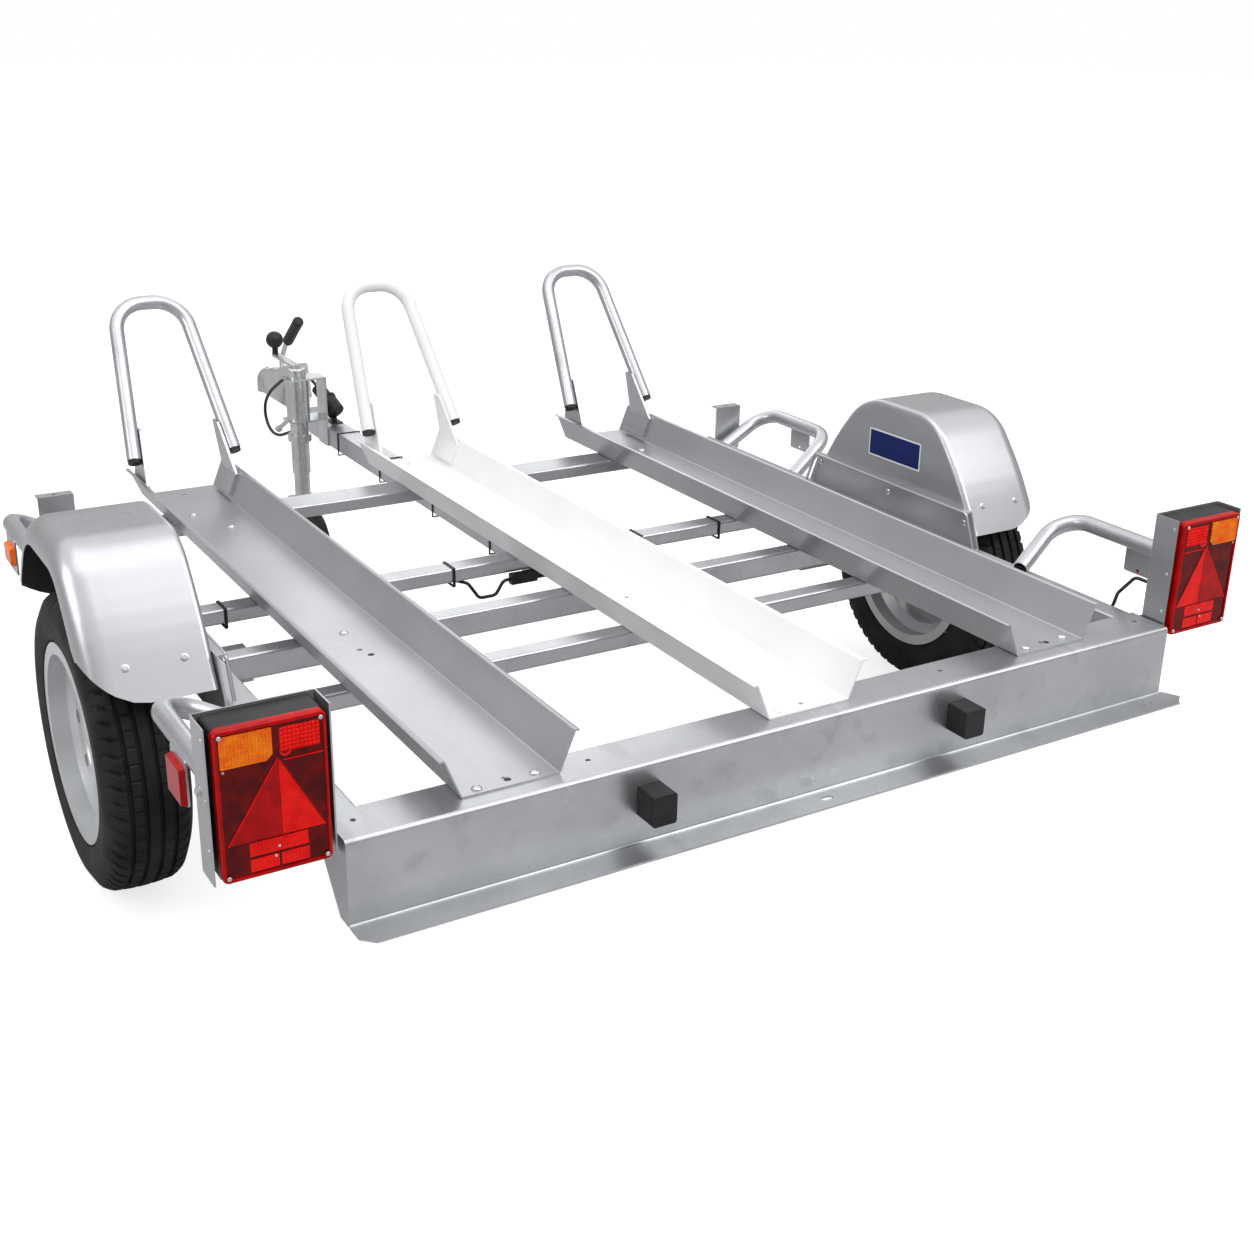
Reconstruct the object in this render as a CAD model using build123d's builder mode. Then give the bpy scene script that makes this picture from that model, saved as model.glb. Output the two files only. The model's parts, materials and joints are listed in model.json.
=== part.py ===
from build123d import *
from math import pi, radians, sqrt, tan
import os

os.makedirs("parts", exist_ok=True)

# Motorcycle trailer, in millimetres. X is to the right as seen from behind, Y is forward to the coupling and
# Z is up. The ground is at Z 0, and the origin is below the middle of the whole length. Distances called
# "ahead" are measured forward from the rear beam's upright face.

# The whole
overall_length = 2760.0
frame_top = 424.0  # the level on which the wheel rails lie
frame_width = 1666.0

# Clearances
slip_gap = 0.3  # between a piece and its seat, where one can move or be taken off
running_gap = 6.0  # between a turning piece and what stands beside it
over_cut = 10.0  # how far a cut runs on past what it cuts

# Rear beam, pressed from one sheet: a top flange, an upright face and a lip for ramps
beam_height = 140.0
beam_sheet = 4.0
beam_flange = 90.0
beam_lip = 54.0
beam_lip_overhang = 24.0
beam_lip_point = 33.0  # the overhang's own corner, behind the face
beam_lip_root = 7.0  # the overhang's width at the face
beam_lip_corner = 20.0
beam_bend = 6.0
beam_end_sheet = 4.0
beam_end_top = 130.0
beam_end_foot = 34.0
beam_slot_length = 24.0
beam_slot_width = 12.0
beam_hole = 9.0
beam_hole_ahead = 54.0
beam_lip_holes = (762.0, 779.0)  # places across
beam_flange_holes = (-800.0, -414.0, 305.0, 800.0)

# Lengthwise members and cross members
member_wall = 3.0
member_corner = 5.0
side_member_width = 50.0
side_member_height = 50.0
front_member_ahead = 1473.0
front_member_width = 84.0
front_member_height = 30.0
second_member_ahead = 933.0
second_member_width = 46.0
second_member_height = 30.0
third_member_ahead = 700.0
third_member_width = 40.0
third_member_height = 48.0
rear_member_ahead = 472.0
rear_member_width = 40.0
rear_member_height = 32.0

# Drawbar
drawbar_width = 60.0
drawbar_height = 50.0
drawbar_drop = 12.0  # from the frame's top to its own
drawbar_end_back = 306.0  # behind the coupling's nose

# Wheel rails, folded from sheet
rail_spacing = 556.0
rail_base = 164.0
rail_sheet = 2.5
rail_wall = 68.0
rail_flare = 27.0  # how far each wall leans out
rail_lip = 7.0
rail_bend = 4.0
rail_ahead = 35.0
rail_length = 1682.0
rail_hole = 10.0
rail_bolt_inset = 24.0
rail_middle_bolt = 589.0

# Front wheel hoops
hoop_tube = 32.0
hoop_wall = 2.5
hoop_foot_half = 113.0
hoop_foot_ahead = 1640.0
hoop_foot_height = 530.0
hoop_top_half = 76.0
hoop_top_ahead = 1850.0
hoop_top_height = 838.0
hoop_bend = 70.0
hoop_strap_sheet = 6.0
hoop_strap_length = 96.0  # along its foot
hoop_strap_top_width = 32.0
hoop_strap_foot = 12.0  # from the rail's base up to its own lower edge
hoop_strap_rise = 60.0  # above the hoop's end
hoop_strap_bend = 10.0
hoop_weld = 1.0  # how far a strap lies into the tube
hoop_plug_radius = 14.5
hoop_plug_length = 8.0

# Road wheels
wheel_half_track = 959.0
wheel_ahead = 811.0
tyre_radius = 273.0
tyre_width = 148.0
tyre_shoulder = 124.0
tyre_crown = 96.0
rim_flange_radius = 182.0
rim_bead_radius = 165.0
rim_width = 128.0
rim_well_radius = 142.0
rim_well_half = 20.0
rim_well_slope = 16.0
rim_sheet = 5.0
rim_bend = 5.0
rim_hole_circle = 108.0
rim_hole_radius = 13.0
rim_hole_count = 8
disc_seat = 10.0  # the disc's middle plane at the hub, outwards from the wheel's own
disc_rise = 18.0
tyre_bead = 13.0
tyre_tread = 14.0
tyre_shoulder_drop = 9.0
tyre_wall_bulge = 3.0
tyre_wall_rise = 24.0
hub_radius = 62.0
hub_body_radius = 45.0
hub_flange = 10.0
hub_cap_radius = 28.0
hub_cap_length = 30.0
hub_bore_end = -8.0
spindle_inset = 12.0

# Half axles, each a square torsion tube with a trailing arm
torsion_tube = 60.0
torsion_wall = 6.0
torsion_length = 180.0
torsion_out = 840.0  # its outer end, from the middle
axle_plate = 6.0
arm_length = 135.0
arm_drop = 30.0
arm_thickness = 18.0
arm_width = 64.0
arm_neck = 48.0
arm_eye = 27.0
spindle_radius = 19.0

# Plates that carry the mudguards
arch_sheet = 4.0
arch_top = 497.0
arch_top_length = 536.0
arch_foot_length = 636.0
arch_fold = 14.0

# Mudguards
guard_sheet = 2.0
guard_width = 210.0
guard_ahead = 822.0  # the middle of the arch
guard_crown = 672.0
guard_crown_half = 131.0
guard_end_half = 264.0
guard_end_rise = 56.0  # from the foot up to the end of the steep part
guard_foot_half = 270.0
guard_foot_height = 444.0
guard_bend = 52.0
guard_edge_radius = 44.0
guard_skirt = 48.0
guard_tail_radius = 100.0

# Guard tubes ahead of and behind each wheel
bumper_tube = 34.0
bumper_wall = 2.5
bumper_bend = 60.0
rear_bumper_out = 976.0
rear_bumper_height = 506.0
rear_bumper_corner_ahead = 430.0
rear_bumper_root_ahead = 381.0
rear_bumper_root_height = 436.0
front_bumper_out = 973.0
front_bumper_height = 484.0
front_bumper_root_height = 404.0
front_bumper_rear_root_ahead = 1195.0
front_bumper_rear_ahead = 1244.0
front_bumper_front_ahead = 1509.0
front_bumper_front_root_ahead = 1501.0

# Rear lamps in their trays
tray_half = 926.0
tray_width = 176.0
tray_bottom = 397.0
tray_height = 234.0
tray_ahead = 16.0
tray_depth = 56.0
tray_sheet = 2.5
tray_foot = 30.0
lamp_width = 156.0
lamp_height = 226.0
lamp_lens = 16.0
lamp_proud = 10.0  # how far the lens stands behind the tray's edges
amber_share = 0.46
amber_proud = 1.0
amber_height = 50.0
lamp_border = 12.0
lamp_chamfer = 5.0
lamp_corner = 6.0

# Number plate lamps
plate_lamp_width = 44.0
plate_lamp_height = 52.0
plate_lamp_depth = 48.0
plate_lamp_base = 337.0
plate_lamp_places = (-335.0, 302.0)

# Side reflectors on their plates: the plates hang on the guard tubes
reflector_plate = 3.0
reflector_body = 9.0
reflector_hole = 8.0
reflector_taper = 20.0
rear_plate_ahead = 222.0
rear_plate_length = 74.0
rear_plate_bottom = 432.0
rear_reflector_length = 70.0
rear_reflector_height = 62.0
front_plate_ahead = 1376.0
front_plate_length = 78.0
front_plate_bottom = 410.0
front_reflector_length = 60.0
front_reflector_height = 40.0

# Front marker lamps in their brackets
marker_ahead = 1532.0
marker_sheet = 3.0
marker_bracket_width = 74.0
marker_bracket_bottom = 390.0
marker_bracket_top = 506.0
marker_flange = 28.0
marker_lamp_width = 64.0
marker_lamp_height = 96.0
marker_lamp_depth = 24.0

# Coupling. Distances called "back" are measured rearward from its nose.
coupling_back = 376.0
coupling_width = 64.0
coupling_edge = 8.0
coupling_nose_radius = 40.0
coupling_ball_height = 428.0
coupling_ball_radius = 25.3
coupling_skirt = 30.0  # from the ball's middle down to the socket's rim
coupling_throat = 14.0  # how far the head reaches down over the drawbar's end
coupling_hump_back = 271.0
coupling_hump_height = 524.0
coupling_hump_run = 25.0
coupling_saddle_rise = 18.0  # the lever's seat, above the head over the ball
coupling_foot = 9.0
lever_seat = 30.0
lever_rod = 14.0
lever_bend = 20.0
lever_foot_back = 146.0
lever_neck = 26.0
grip_radius = 15.0
grip_rear_back = 308.0
grip_rear_rise = 166.0  # above the lever's foot
grip_front_back = 206.0
grip_front_rise = 88.0
grip_end = 6.0
chain_lug_back = 226.0
chain_lug_radius = 13.0
chain_lug_hole = 12.0
chain_lug_sheet = 5.0
chain_lug_drop = 10.0  # from the head's underside to the hole's middle

# Safety chain, which hangs from the lug
chain_links = 10
chain_wire = 5.0
chain_inner_length = 27.5
chain_inner_width = 9.0
chain_bevel = 1.46
chain_seat = 1.0  # clears the first link's curved end from the hole's edge

# Jockey wheel
jockey_side = 100.0
jockey_back = 546.0
jockey_tube = 48.0
jockey_tube_wall = 2.5
jockey_tube_top = 560.0
jockey_tube_bottom = 290.0
jockey_collar_radius = 31.0
jockey_collar_bottom = 380.0
jockey_collar_height = 18.0
jockey_cap_radius = 26.0
jockey_cap_height = 18.0
jockey_leg = 41.0
jockey_leg_wall = 3.0
jockey_leg_bottom = 222.0
jockey_leg_length = 248.0
clamp_sheet = 4.0
clamp_bottom = 435.0
clamp_top = 552.0
clamp_length = 66.0
clamp_reach = 34.0  # from the jockey wheel's axis out to the plates' edges
clamp_sleeve_wall = 6.0
clamp_lever = 12.0
clamp_lever_length = 84.0
clamp_lever_drop = 44.0
clamp_knob_radius = 10.0
crank_length = 158.0
crank_width = 20.0
crank_thickness = 8.0
knob_neck_radius = 8.0
knob_neck = 14.0
knob_radius = 23.0
fork_pin_radius = 10.0
fork_pin_length = 60.0
fork_crown_radius = 24.0
fork_crown = 15.0
fork_sheet = 5.0
fork_end_radius = 17.0
jockey_trail = 45.0
jockey_axle_radius = 8.0
jockey_axle_head = 12.0
jockey_wheel_radius = 100.0
jockey_wheel_width = 50.0
jockey_wheel_shoulder = 14.0
jockey_wheel_crown = 16.0
jockey_rim_radius = 68.0
jockey_rim_wall = 7.0
jockey_disc = 10.0
jockey_hub_radius = 20.0
jockey_hub_length = 58.0

# Plug holder on the drawbar, tilted forward, with the lighting cable's plug in it
holder_back = 536.0
holder_side = 10.0
holder_height = 443.0
holder_tilt = (-0.227, 0.784, 0.577)  # its axis, towards the cable
holder_foot = 56.0
holder_web = 36.0
holder_sheet = 3.0
holder_radius = 24.0
holder_length = 44.0
plug_radius = 19.0
plug_flange_radius = 26.0
plug_flange = 6.0
plug_length = 89.5

# Lighting cable, a free cord from the gland below the drawbar round the coupling to the plug: points on its
# way as places across, back and up
cable_diameter = 9.0
cable_straight_share = 0.1  # of a run between two bends
cable_points = (
    (0.0, 394.0, 353.0),
    (-22.0, 338.0, 350.0),
    (-40.0, 282.0, 330.0),
    (-50.0, 232.0, 309.0),
    (-57.0, 184.0, 312.0),
    (-61.0, 154.0, 345.0),
    (-61.0, 154.0, 388.0),
    (-57.0, 186.0, 428.0),
    (-49.0, 250.0, 468.0),
    (-42.0, 310.0, 500.0),
    (-33.0, 374.0, 524.0),
)
cable_last_run = 46.0
gland_back = 444.0
gland_length = 30.0
gland_width = 18.0

# Wiring held against the frame, and the ties round it
wiring = 7.0
wiring_bend = 20.0
wiring_loop_bend = 14.0
connector_length = 60.0
connector_depth = 16.0
connector_height = 22.0
connector_side = -70.0
connector_middle = 383.0
connector_spread = 5.5  # from its middle up and down to the cables
tie_width = 6.0
tie_sheet = 1.5
drawbar_ties = (1160.0, 1462.0, 1780.0, 2060.0)
member_ties = (225.0, 430.0, 700.0)
tail_ahead = 160.0
tail_height = 400.0
tail_out = 26.0  # from the side member

# Shared places
beam_face_y = beam_lip - overall_length / 2
nose_y = overall_length / 2
half_frame = frame_width / 2
side_outer = half_frame - beam_end_sheet
side_inner = side_outer - side_member_width
axle_y = beam_face_y + wheel_ahead
axle_z = tyre_radius
drawbar_top = frame_top - drawbar_drop
drawbar_bottom = drawbar_top - drawbar_height
drawbar_middle = drawbar_top - drawbar_height / 2
guard_end_height = guard_foot_height + guard_end_rise
sides = (("left", -1), ("right", 1))


def ahead(distance):
    """A place along Y, from its distance ahead of the rear beam's face."""
    return beam_face_y + distance


def back(distance):
    """A place along Y, from its distance behind the coupling's nose."""
    return nose_y - distance


def save(shape, name):
    shape.label = name
    export_step(shape, f"parts/{name}.step")


# Rear beam
beam_bottom = frame_top - beam_height
with BuildPart() as rear_beam:
    with BuildSketch(Plane.YZ.offset(-half_frame)) as section:
        with BuildLine() as fold:
            FilletPolyline(
                (ahead(beam_flange), frame_top - beam_sheet / 2),
                (ahead(beam_sheet / 2), frame_top - beam_sheet / 2),
                (ahead(beam_sheet / 2), beam_bottom + beam_sheet / 2),
                (ahead(-beam_lip), beam_bottom + beam_sheet / 2),
                radius=beam_bend,
            )
        trace(line_width=beam_sheet)
    extrude(amount=frame_width)
    # the lip runs on past the right-hand end to a point
    with BuildSketch(Plane.XY.offset(beam_bottom)):
        with BuildLine():
            Polyline(
                (half_frame - beam_end_sheet, ahead(-beam_lip)),
                (half_frame + beam_lip_overhang, ahead(-beam_lip_point)),
                (half_frame + beam_lip_root, beam_face_y),
                (half_frame - beam_end_sheet, beam_face_y),
                close=True,
            )
        make_face()
    extrude(amount=beam_sheet)
    # end plates, deep at the top and narrow at the foot
    for end in (-1, 1):
        with BuildSketch(Plane.YZ.offset(end * (half_frame - beam_end_sheet / 2))):
            with BuildLine():
                Polyline(
                    (ahead(beam_sheet), frame_top - beam_sheet),
                    (ahead(beam_end_top), frame_top - beam_sheet),
                    (ahead(beam_end_top), frame_top - side_member_height / 2),
                    (ahead(beam_end_foot), beam_bottom),
                    (ahead(beam_sheet), beam_bottom),
                    close=True,
                )
            make_face()
        extrude(amount=beam_end_sheet / 2, both=True)
    # the lip's left-hand corner is cut off
    with BuildSketch(Plane.XY.offset(beam_bottom)):
        with BuildLine():
            Polyline(
                (-half_frame, ahead(-beam_lip)),
                (-half_frame + beam_lip_corner, ahead(-beam_lip)),
                (-half_frame, ahead(-beam_lip + beam_lip_corner)),
                close=True,
            )
        make_face()
    extrude(amount=over_cut, both=True, mode=Mode.SUBTRACT)
    # holes in the lip and the flange
    with BuildSketch(Plane.XY.offset(beam_bottom)):
        with Locations((0, ahead(-beam_lip / 2))):
            SlotOverall(beam_slot_length, beam_slot_width)
        with Locations(*[(x, ahead(-beam_lip / 2)) for x in beam_lip_holes]):
            Circle(beam_hole / 2)
    extrude(amount=over_cut, both=True, mode=Mode.SUBTRACT)
    with BuildSketch(Plane.XY.offset(frame_top)):
        with Locations(*[(x, ahead(beam_hole_ahead)) for x in beam_flange_holes]):
            Circle(beam_hole / 2)
    extrude(amount=over_cut, both=True, mode=Mode.SUBTRACT)
save(rear_beam.part, "rear_beam")

# Side members, two square tubes along the frame
side_front = ahead(front_member_ahead + front_member_width)
side_rear = ahead(beam_flange)
with BuildPart() as side_members:
    with BuildSketch(Plane.XZ.offset(-side_rear)):
        side_middle = (side_inner + side_outer) / 2
        with Locations(*[(s * side_middle, frame_top - side_member_height / 2) for _, s in sides]):
            RectangleRounded(side_member_width, side_member_height, member_corner)
            Rectangle(
                side_member_width - 2 * member_wall,
                side_member_height - 2 * member_wall,
                mode=Mode.SUBTRACT,
            )
    extrude(amount=-(side_front - side_rear))
save(side_members.part, "side_members")

# Cross members: distance ahead, width along Y, height, and how far each half starts from the middle. The
# front one comes in two halves, one on each side of the drawbar.
cross_table = (
    (front_member_ahead, front_member_width, front_member_height, drawbar_width / 2),
    (second_member_ahead, second_member_width, second_member_height, 0.0),
    (third_member_ahead, third_member_width, third_member_height, 0.0),
    (rear_member_ahead, rear_member_width, rear_member_height, 0.0),
)
with BuildPart() as cross_members:
    for distance, width, height, start in cross_table:
        for _, s in sides:
            with BuildSketch(Plane.YZ.offset(s * start)):
                with Locations((ahead(distance + width / 2), frame_top - height / 2)):
                    RectangleRounded(width, height, member_corner)
                    Rectangle(width - 2 * member_wall, height - 2 * member_wall, mode=Mode.SUBTRACT)
            extrude(amount=s * (side_inner - start))
save(cross_members.part, "cross_members")

# Drawbar
drawbar_rear = ahead(second_member_ahead + second_member_width)
drawbar_end = back(drawbar_end_back)
with BuildPart() as drawbar:
    with BuildSketch(Plane.XZ.offset(-drawbar_rear)):
        with Locations((0, drawbar_middle)):
            RectangleRounded(drawbar_width, drawbar_height, member_corner)
            Rectangle(
                drawbar_width - 2 * member_wall,
                drawbar_height - 2 * member_wall,
                mode=Mode.SUBTRACT,
            )
    extrude(amount=-(drawbar_end - drawbar_rear))
save(drawbar.part, "drawbar")

# Wheel rails: node, places across. The middle one is a separate fitting with a finish of its own.
rail_middle_z = frame_top + rail_sheet / 2
rail_top = frame_top + rail_wall
rail_top_half = rail_base / 2 + rail_flare
rail_table = (("outer", (-rail_spacing, rail_spacing)), ("centre", (0.0,)))
rail_bolts = (rail_bolt_inset, rail_middle_bolt, rail_length - 2 * rail_bolt_inset)
for name, places in rail_table:
    with BuildPart() as rail:
        for x in places:
            with BuildSketch(Plane.XZ.offset(-ahead(rail_ahead))):
                with BuildLine():
                    FilletPolyline(
                        (x - rail_top_half - rail_lip, rail_top - rail_sheet),
                        (x - rail_top_half, rail_top),
                        (x - rail_base / 2, rail_middle_z),
                        (x + rail_base / 2, rail_middle_z),
                        (x + rail_top_half, rail_top),
                        (x + rail_top_half + rail_lip, rail_top - rail_sheet),
                        radius=rail_bend,
                    )
                trace(line_width=rail_sheet)
            extrude(amount=-rail_length)
            with BuildSketch(Plane.XY.offset(frame_top)):
                with Locations(*[(x, ahead(rail_ahead + d)) for d in rail_bolts]):
                    Circle(rail_hole / 2)
            extrude(amount=over_cut, both=True, mode=Mode.SUBTRACT)
    save(rail.part, f"rail_{name}" if len(places) == 1 else f"rails_{name}")

# Hoops for the motorcycles' front wheels. Each leg ends above its rail's wall, and a folded strap joins the
# two: its lower part lies against the wall's inner face and its upper part along the leg's inner side.
wall_slope = rail_flare / (rail_top - rail_middle_z)
leg_slope = (hoop_foot_half - hoop_top_half) / (hoop_top_height - hoop_foot_height)
leg_advance = (hoop_top_ahead - hoop_foot_ahead) / (hoop_top_height - hoop_foot_height)
strap_from_wall = (rail_sheet + hoop_strap_sheet) / 2 * sqrt(1 + wall_slope**2)
strap_from_leg = (hoop_tube / 2 - hoop_weld + hoop_strap_sheet / 2) * sqrt(1 + leg_slope**2)
strap_bottom = frame_top + hoop_strap_foot
strap_top = hoop_foot_height + hoop_strap_rise


def strap_by_wall(z):
    """Half the distance between a hoop's two straps, where they follow the rail's walls."""
    return rail_base / 2 + (z - rail_middle_z) * wall_slope - strap_from_wall


def strap_by_leg(z):
    """The same, where they follow the legs."""
    return hoop_foot_half - (z - hoop_foot_height) * leg_slope - strap_from_leg


strap_fold = (strap_by_leg(0) - strap_by_wall(0)) / (wall_slope + leg_slope)
foot_y = ahead(hoop_foot_ahead)
top_y = ahead(hoop_top_ahead)
strap_front = foot_y + hoop_strap_length / 2
strap_rear = foot_y - hoop_strap_length / 2
strap_top_y = foot_y + hoop_strap_rise * leg_advance
for name, places in rail_table:
    with BuildPart() as hoops:
        for x in places:
            with BuildLine() as bend:
                FilletPolyline(
                    (x - hoop_foot_half, foot_y, hoop_foot_height),
                    (x - hoop_top_half, top_y, hoop_top_height),
                    (x + hoop_top_half, top_y, hoop_top_height),
                    (x + hoop_foot_half, foot_y, hoop_foot_height),
                    radius=hoop_bend,
                )
            with BuildSketch(Plane(bend.line @ 0, z_dir=bend.line % 0)):
                Circle(hoop_tube / 2)
                Circle(hoop_tube / 2 - hoop_wall, mode=Mode.SUBTRACT)
            sweep()
    with BuildPart() as straps:
        for x in places:
            for _, s in sides:
                with BuildSketch(Plane.XZ.offset(-strap_rear)):
                    with BuildLine():
                        FilletPolyline(
                            (x + s * strap_by_wall(strap_bottom), strap_bottom),
                            (x + s * strap_by_wall(strap_fold), strap_fold),
                            (x + s * strap_by_leg(strap_top), strap_top),
                            radius=hoop_strap_bend,
                        )
                    trace(line_width=hoop_strap_sheet)
                extrude(amount=-2 * hoop_strap_length)
        # seen from the side, each strap narrows along the leg
        with BuildSketch(Plane.YZ):
            with BuildLine():
                Polyline(
                    (strap_rear, strap_bottom),
                    (strap_front, strap_bottom),
                    (strap_front, strap_fold),
                    (strap_top_y + hoop_strap_top_width / 2, strap_top),
                    (strap_top_y - hoop_strap_top_width / 2, strap_top),
                    (strap_rear, strap_fold),
                    close=True,
                )
            make_face()
        extrude(amount=half_frame, both=True, mode=Mode.INTERSECT)
    with BuildPart() as hoop_with_straps:
        add(hoops.part)
        add(straps.part)
    save(hoop_with_straps.part, f"hoop_{name}" if len(places) == 1 else f"hoops_{name}")

# Plastic plugs close the hoops' ends
with BuildPart() as hoop_plugs:
    for _, places in rail_table:
        for x in places:
            for _, s in sides:
                leg_foot = Vector(x + s * hoop_foot_half, foot_y, hoop_foot_height)
                leg_head = Vector(x + s * hoop_top_half, top_y, hoop_top_height)
                with BuildSketch(Plane(leg_foot, z_dir=leg_foot - leg_head)):
                    Circle(hoop_plug_radius)
                extrude(amount=hoop_plug_length)
save(hoop_plugs.part, "hoop_plugs")
print("rails and hoops made")

# Plates along the side members that carry the mudguards, with their upper edges folded in
arch_middle = ahead(guard_ahead)
with BuildPart() as arch_plates:
    for _, s in sides:
        with BuildSketch(Plane.YZ.offset(s * side_outer)):
            with BuildLine():
                Polyline(
                    (arch_middle - arch_foot_length / 2, frame_top - side_member_height),
                    (arch_middle + arch_foot_length / 2, frame_top - side_member_height),
                    (arch_middle + arch_top_length / 2, arch_top),
                    (arch_middle - arch_top_length / 2, arch_top),
                    close=True,
                )
            make_face()
        extrude(amount=s * arch_sheet)
        with BuildSketch(Plane.XY.offset(arch_top - arch_sheet)):
            with Locations((s * (side_outer - arch_fold / 2), arch_middle)):
                Rectangle(arch_fold, arch_top_length)
        extrude(amount=arch_sheet)
save(arch_plates.part, "arch_plates")


# Mudguards: each a shell with a rounded outer edge, closed by a flat wall on its inner side, open below
# and, but for a skirt, on its outer side
def guard_arch(foot_height, inset):
    """The arch's outline, with its feet carried on down to a height."""
    foot_slope = (guard_foot_half - guard_end_half) / (guard_end_height - guard_foot_height)
    foot_half = guard_foot_half + (guard_foot_height - foot_height) * foot_slope
    with BuildSketch() as outline:
        with BuildLine() as arch:
            FilletPolyline(
                (arch_middle - foot_half, foot_height),
                (arch_middle - guard_end_half, guard_end_height),
                (arch_middle - guard_crown_half, guard_crown),
                (arch_middle + guard_crown_half, guard_crown),
                (arch_middle + guard_end_half, guard_end_height),
                (arch_middle + foot_half, foot_height),
                radius=guard_bend,
            )
            Line(arch.line @ 0, arch.line @ 1)
        make_face()
        if inset:
            offset(amount=-inset)
    return outline.sketch


guard_below = guard_foot_height - 2 * guard_skirt
with BuildPart() as mudguards:
    for _, s in sides:
        guard_outer = half_frame + guard_width
        with BuildPart(mode=Mode.PRIVATE) as skin:
            with BuildSketch(Plane.YZ.offset(s * half_frame)):
                add(guard_arch(guard_foot_height, 0))
            extrude(amount=s * guard_width)
            rim = skin.faces().sort_by(Axis.X)[-1 if s > 0 else 0].edges()
            fillet(rim.sort_by(Axis.Z)[1:], radius=guard_edge_radius)
        with BuildPart(mode=Mode.PRIVATE) as hollow:
            with BuildSketch(Plane.YZ.offset(s * (half_frame + guard_sheet))):
                add(guard_arch(guard_below, guard_sheet))
            extrude(amount=s * (guard_width - 2 * guard_sheet))
            rim = hollow.faces().sort_by(Axis.X)[-1 if s > 0 else 0].edges()
            fillet(rim.sort_by(Axis.Z)[1:], radius=guard_edge_radius - guard_sheet)
        with BuildPart(mode=Mode.PRIVATE) as window:
            with BuildSketch(Plane.YZ.offset(s * (guard_outer - guard_edge_radius))):
                add(guard_arch(guard_below, guard_skirt))
            extrude(amount=s * guard_width)
            # the tails' lower outer corners are cut round
            with BuildSketch(Plane.XZ.offset(-arch_middle)):
                tail_x = guard_outer - guard_tail_radius
                tail_z = guard_foot_height + guard_tail_radius
                with Locations((s * (tail_x + guard_tail_radius / 2), tail_z - guard_tail_radius / 2)):
                    Rectangle(guard_tail_radius, guard_tail_radius)
                with Locations((s * tail_x, tail_z)):
                    Circle(guard_tail_radius, mode=Mode.SUBTRACT)
            extrude(amount=2 * guard_foot_half, both=True)
        add(skin.part - hollow.part - window.part)
save(mudguards.part, "mudguards")
print("mudguards made")

# Guard tubes ahead of and behind the wheels, with plates for side reflectors. The front ones are bows, and the
# rear ones run from the side members to the lamp trays.
tray_back = ahead(tray_ahead + tray_depth)
tube_run_in = 0.12  # how far a tube is drawn on into the member before it is cut flush


def guard_tube(points, ends_to_cut):
    """A tube along points. The ends that land on a side member are cut flush with it."""
    route = [Vector(*p) for p in points]
    route[0] += (route[0] - route[1]) * tube_run_in
    if ends_to_cut == 2:
        route[-1] += (route[-1] - route[-2]) * tube_run_in
    with BuildPart() as tube:
        with BuildLine() as bend:
            FilletPolyline(*route, radius=bumper_bend)
        with BuildSketch(Plane(bend.line @ 0, z_dir=bend.line % 0)):
            Circle(bumper_tube / 2)
            Circle(bumper_tube / 2 - bumper_wall, mode=Mode.SUBTRACT)
        sweep()
        with BuildSketch(Plane.XZ):
            with Locations((0, frame_top - side_member_height / 2)):
                Rectangle(2 * side_outer, side_member_height)
        extrude(amount=overall_length / 2, both=True, mode=Mode.SUBTRACT)
    return tube.part


def reflector_carrier(s, out, middle, length, bottom, top):
    """A reflector's plate, which hangs on the outer side of a guard tube."""
    with BuildPart() as plate:
        with BuildSketch(Plane.YZ.offset(s * out)):
            with Locations((middle, (bottom + top) / 2)):
                RectangleRounded(length, top - bottom, member_corner)
            with Locations((middle, bottom + reflector_hole)):
                Circle(reflector_hole / 2, mode=Mode.SUBTRACT)
        extrude(amount=s * reflector_plate)
    return plate.part


rear_plate_out = rear_bumper_out + bumper_tube / 2 - hoop_weld
front_plate_out = front_bumper_out + bumper_tube / 2 - hoop_weld
with BuildPart() as guard_tubes_rear:
    for _, s in sides:
        route = (
            (s * side_outer, ahead(rear_bumper_root_ahead), rear_bumper_root_height),
            (s * rear_bumper_out, ahead(rear_bumper_corner_ahead), rear_bumper_height),
            (s * rear_bumper_out, tray_back, rear_bumper_height),
        )
        plate = (ahead(rear_plate_ahead), rear_plate_length, rear_plate_bottom, rear_bumper_height)
        add(guard_tube(route, ends_to_cut=1))
        add(reflector_carrier(s, rear_plate_out, *plate))
save(guard_tubes_rear.part, "guard_tubes_rear")

with BuildPart() as guard_tubes_front:
    for _, s in sides:
        route = (
            (s * side_outer, ahead(front_bumper_rear_root_ahead), front_bumper_root_height),
            (s * front_bumper_out, ahead(front_bumper_rear_ahead), front_bumper_height),
            (s * front_bumper_out, ahead(front_bumper_front_ahead), front_bumper_height),
            (s * side_outer, ahead(front_bumper_front_root_ahead), front_bumper_root_height),
        )
        plate = (ahead(front_plate_ahead), front_plate_length, front_plate_bottom, front_bumper_height)
        add(guard_tube(route, ends_to_cut=2))
        add(reflector_carrier(s, front_plate_out, *plate))
save(guard_tubes_front.part, "guard_tubes_front")

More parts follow.
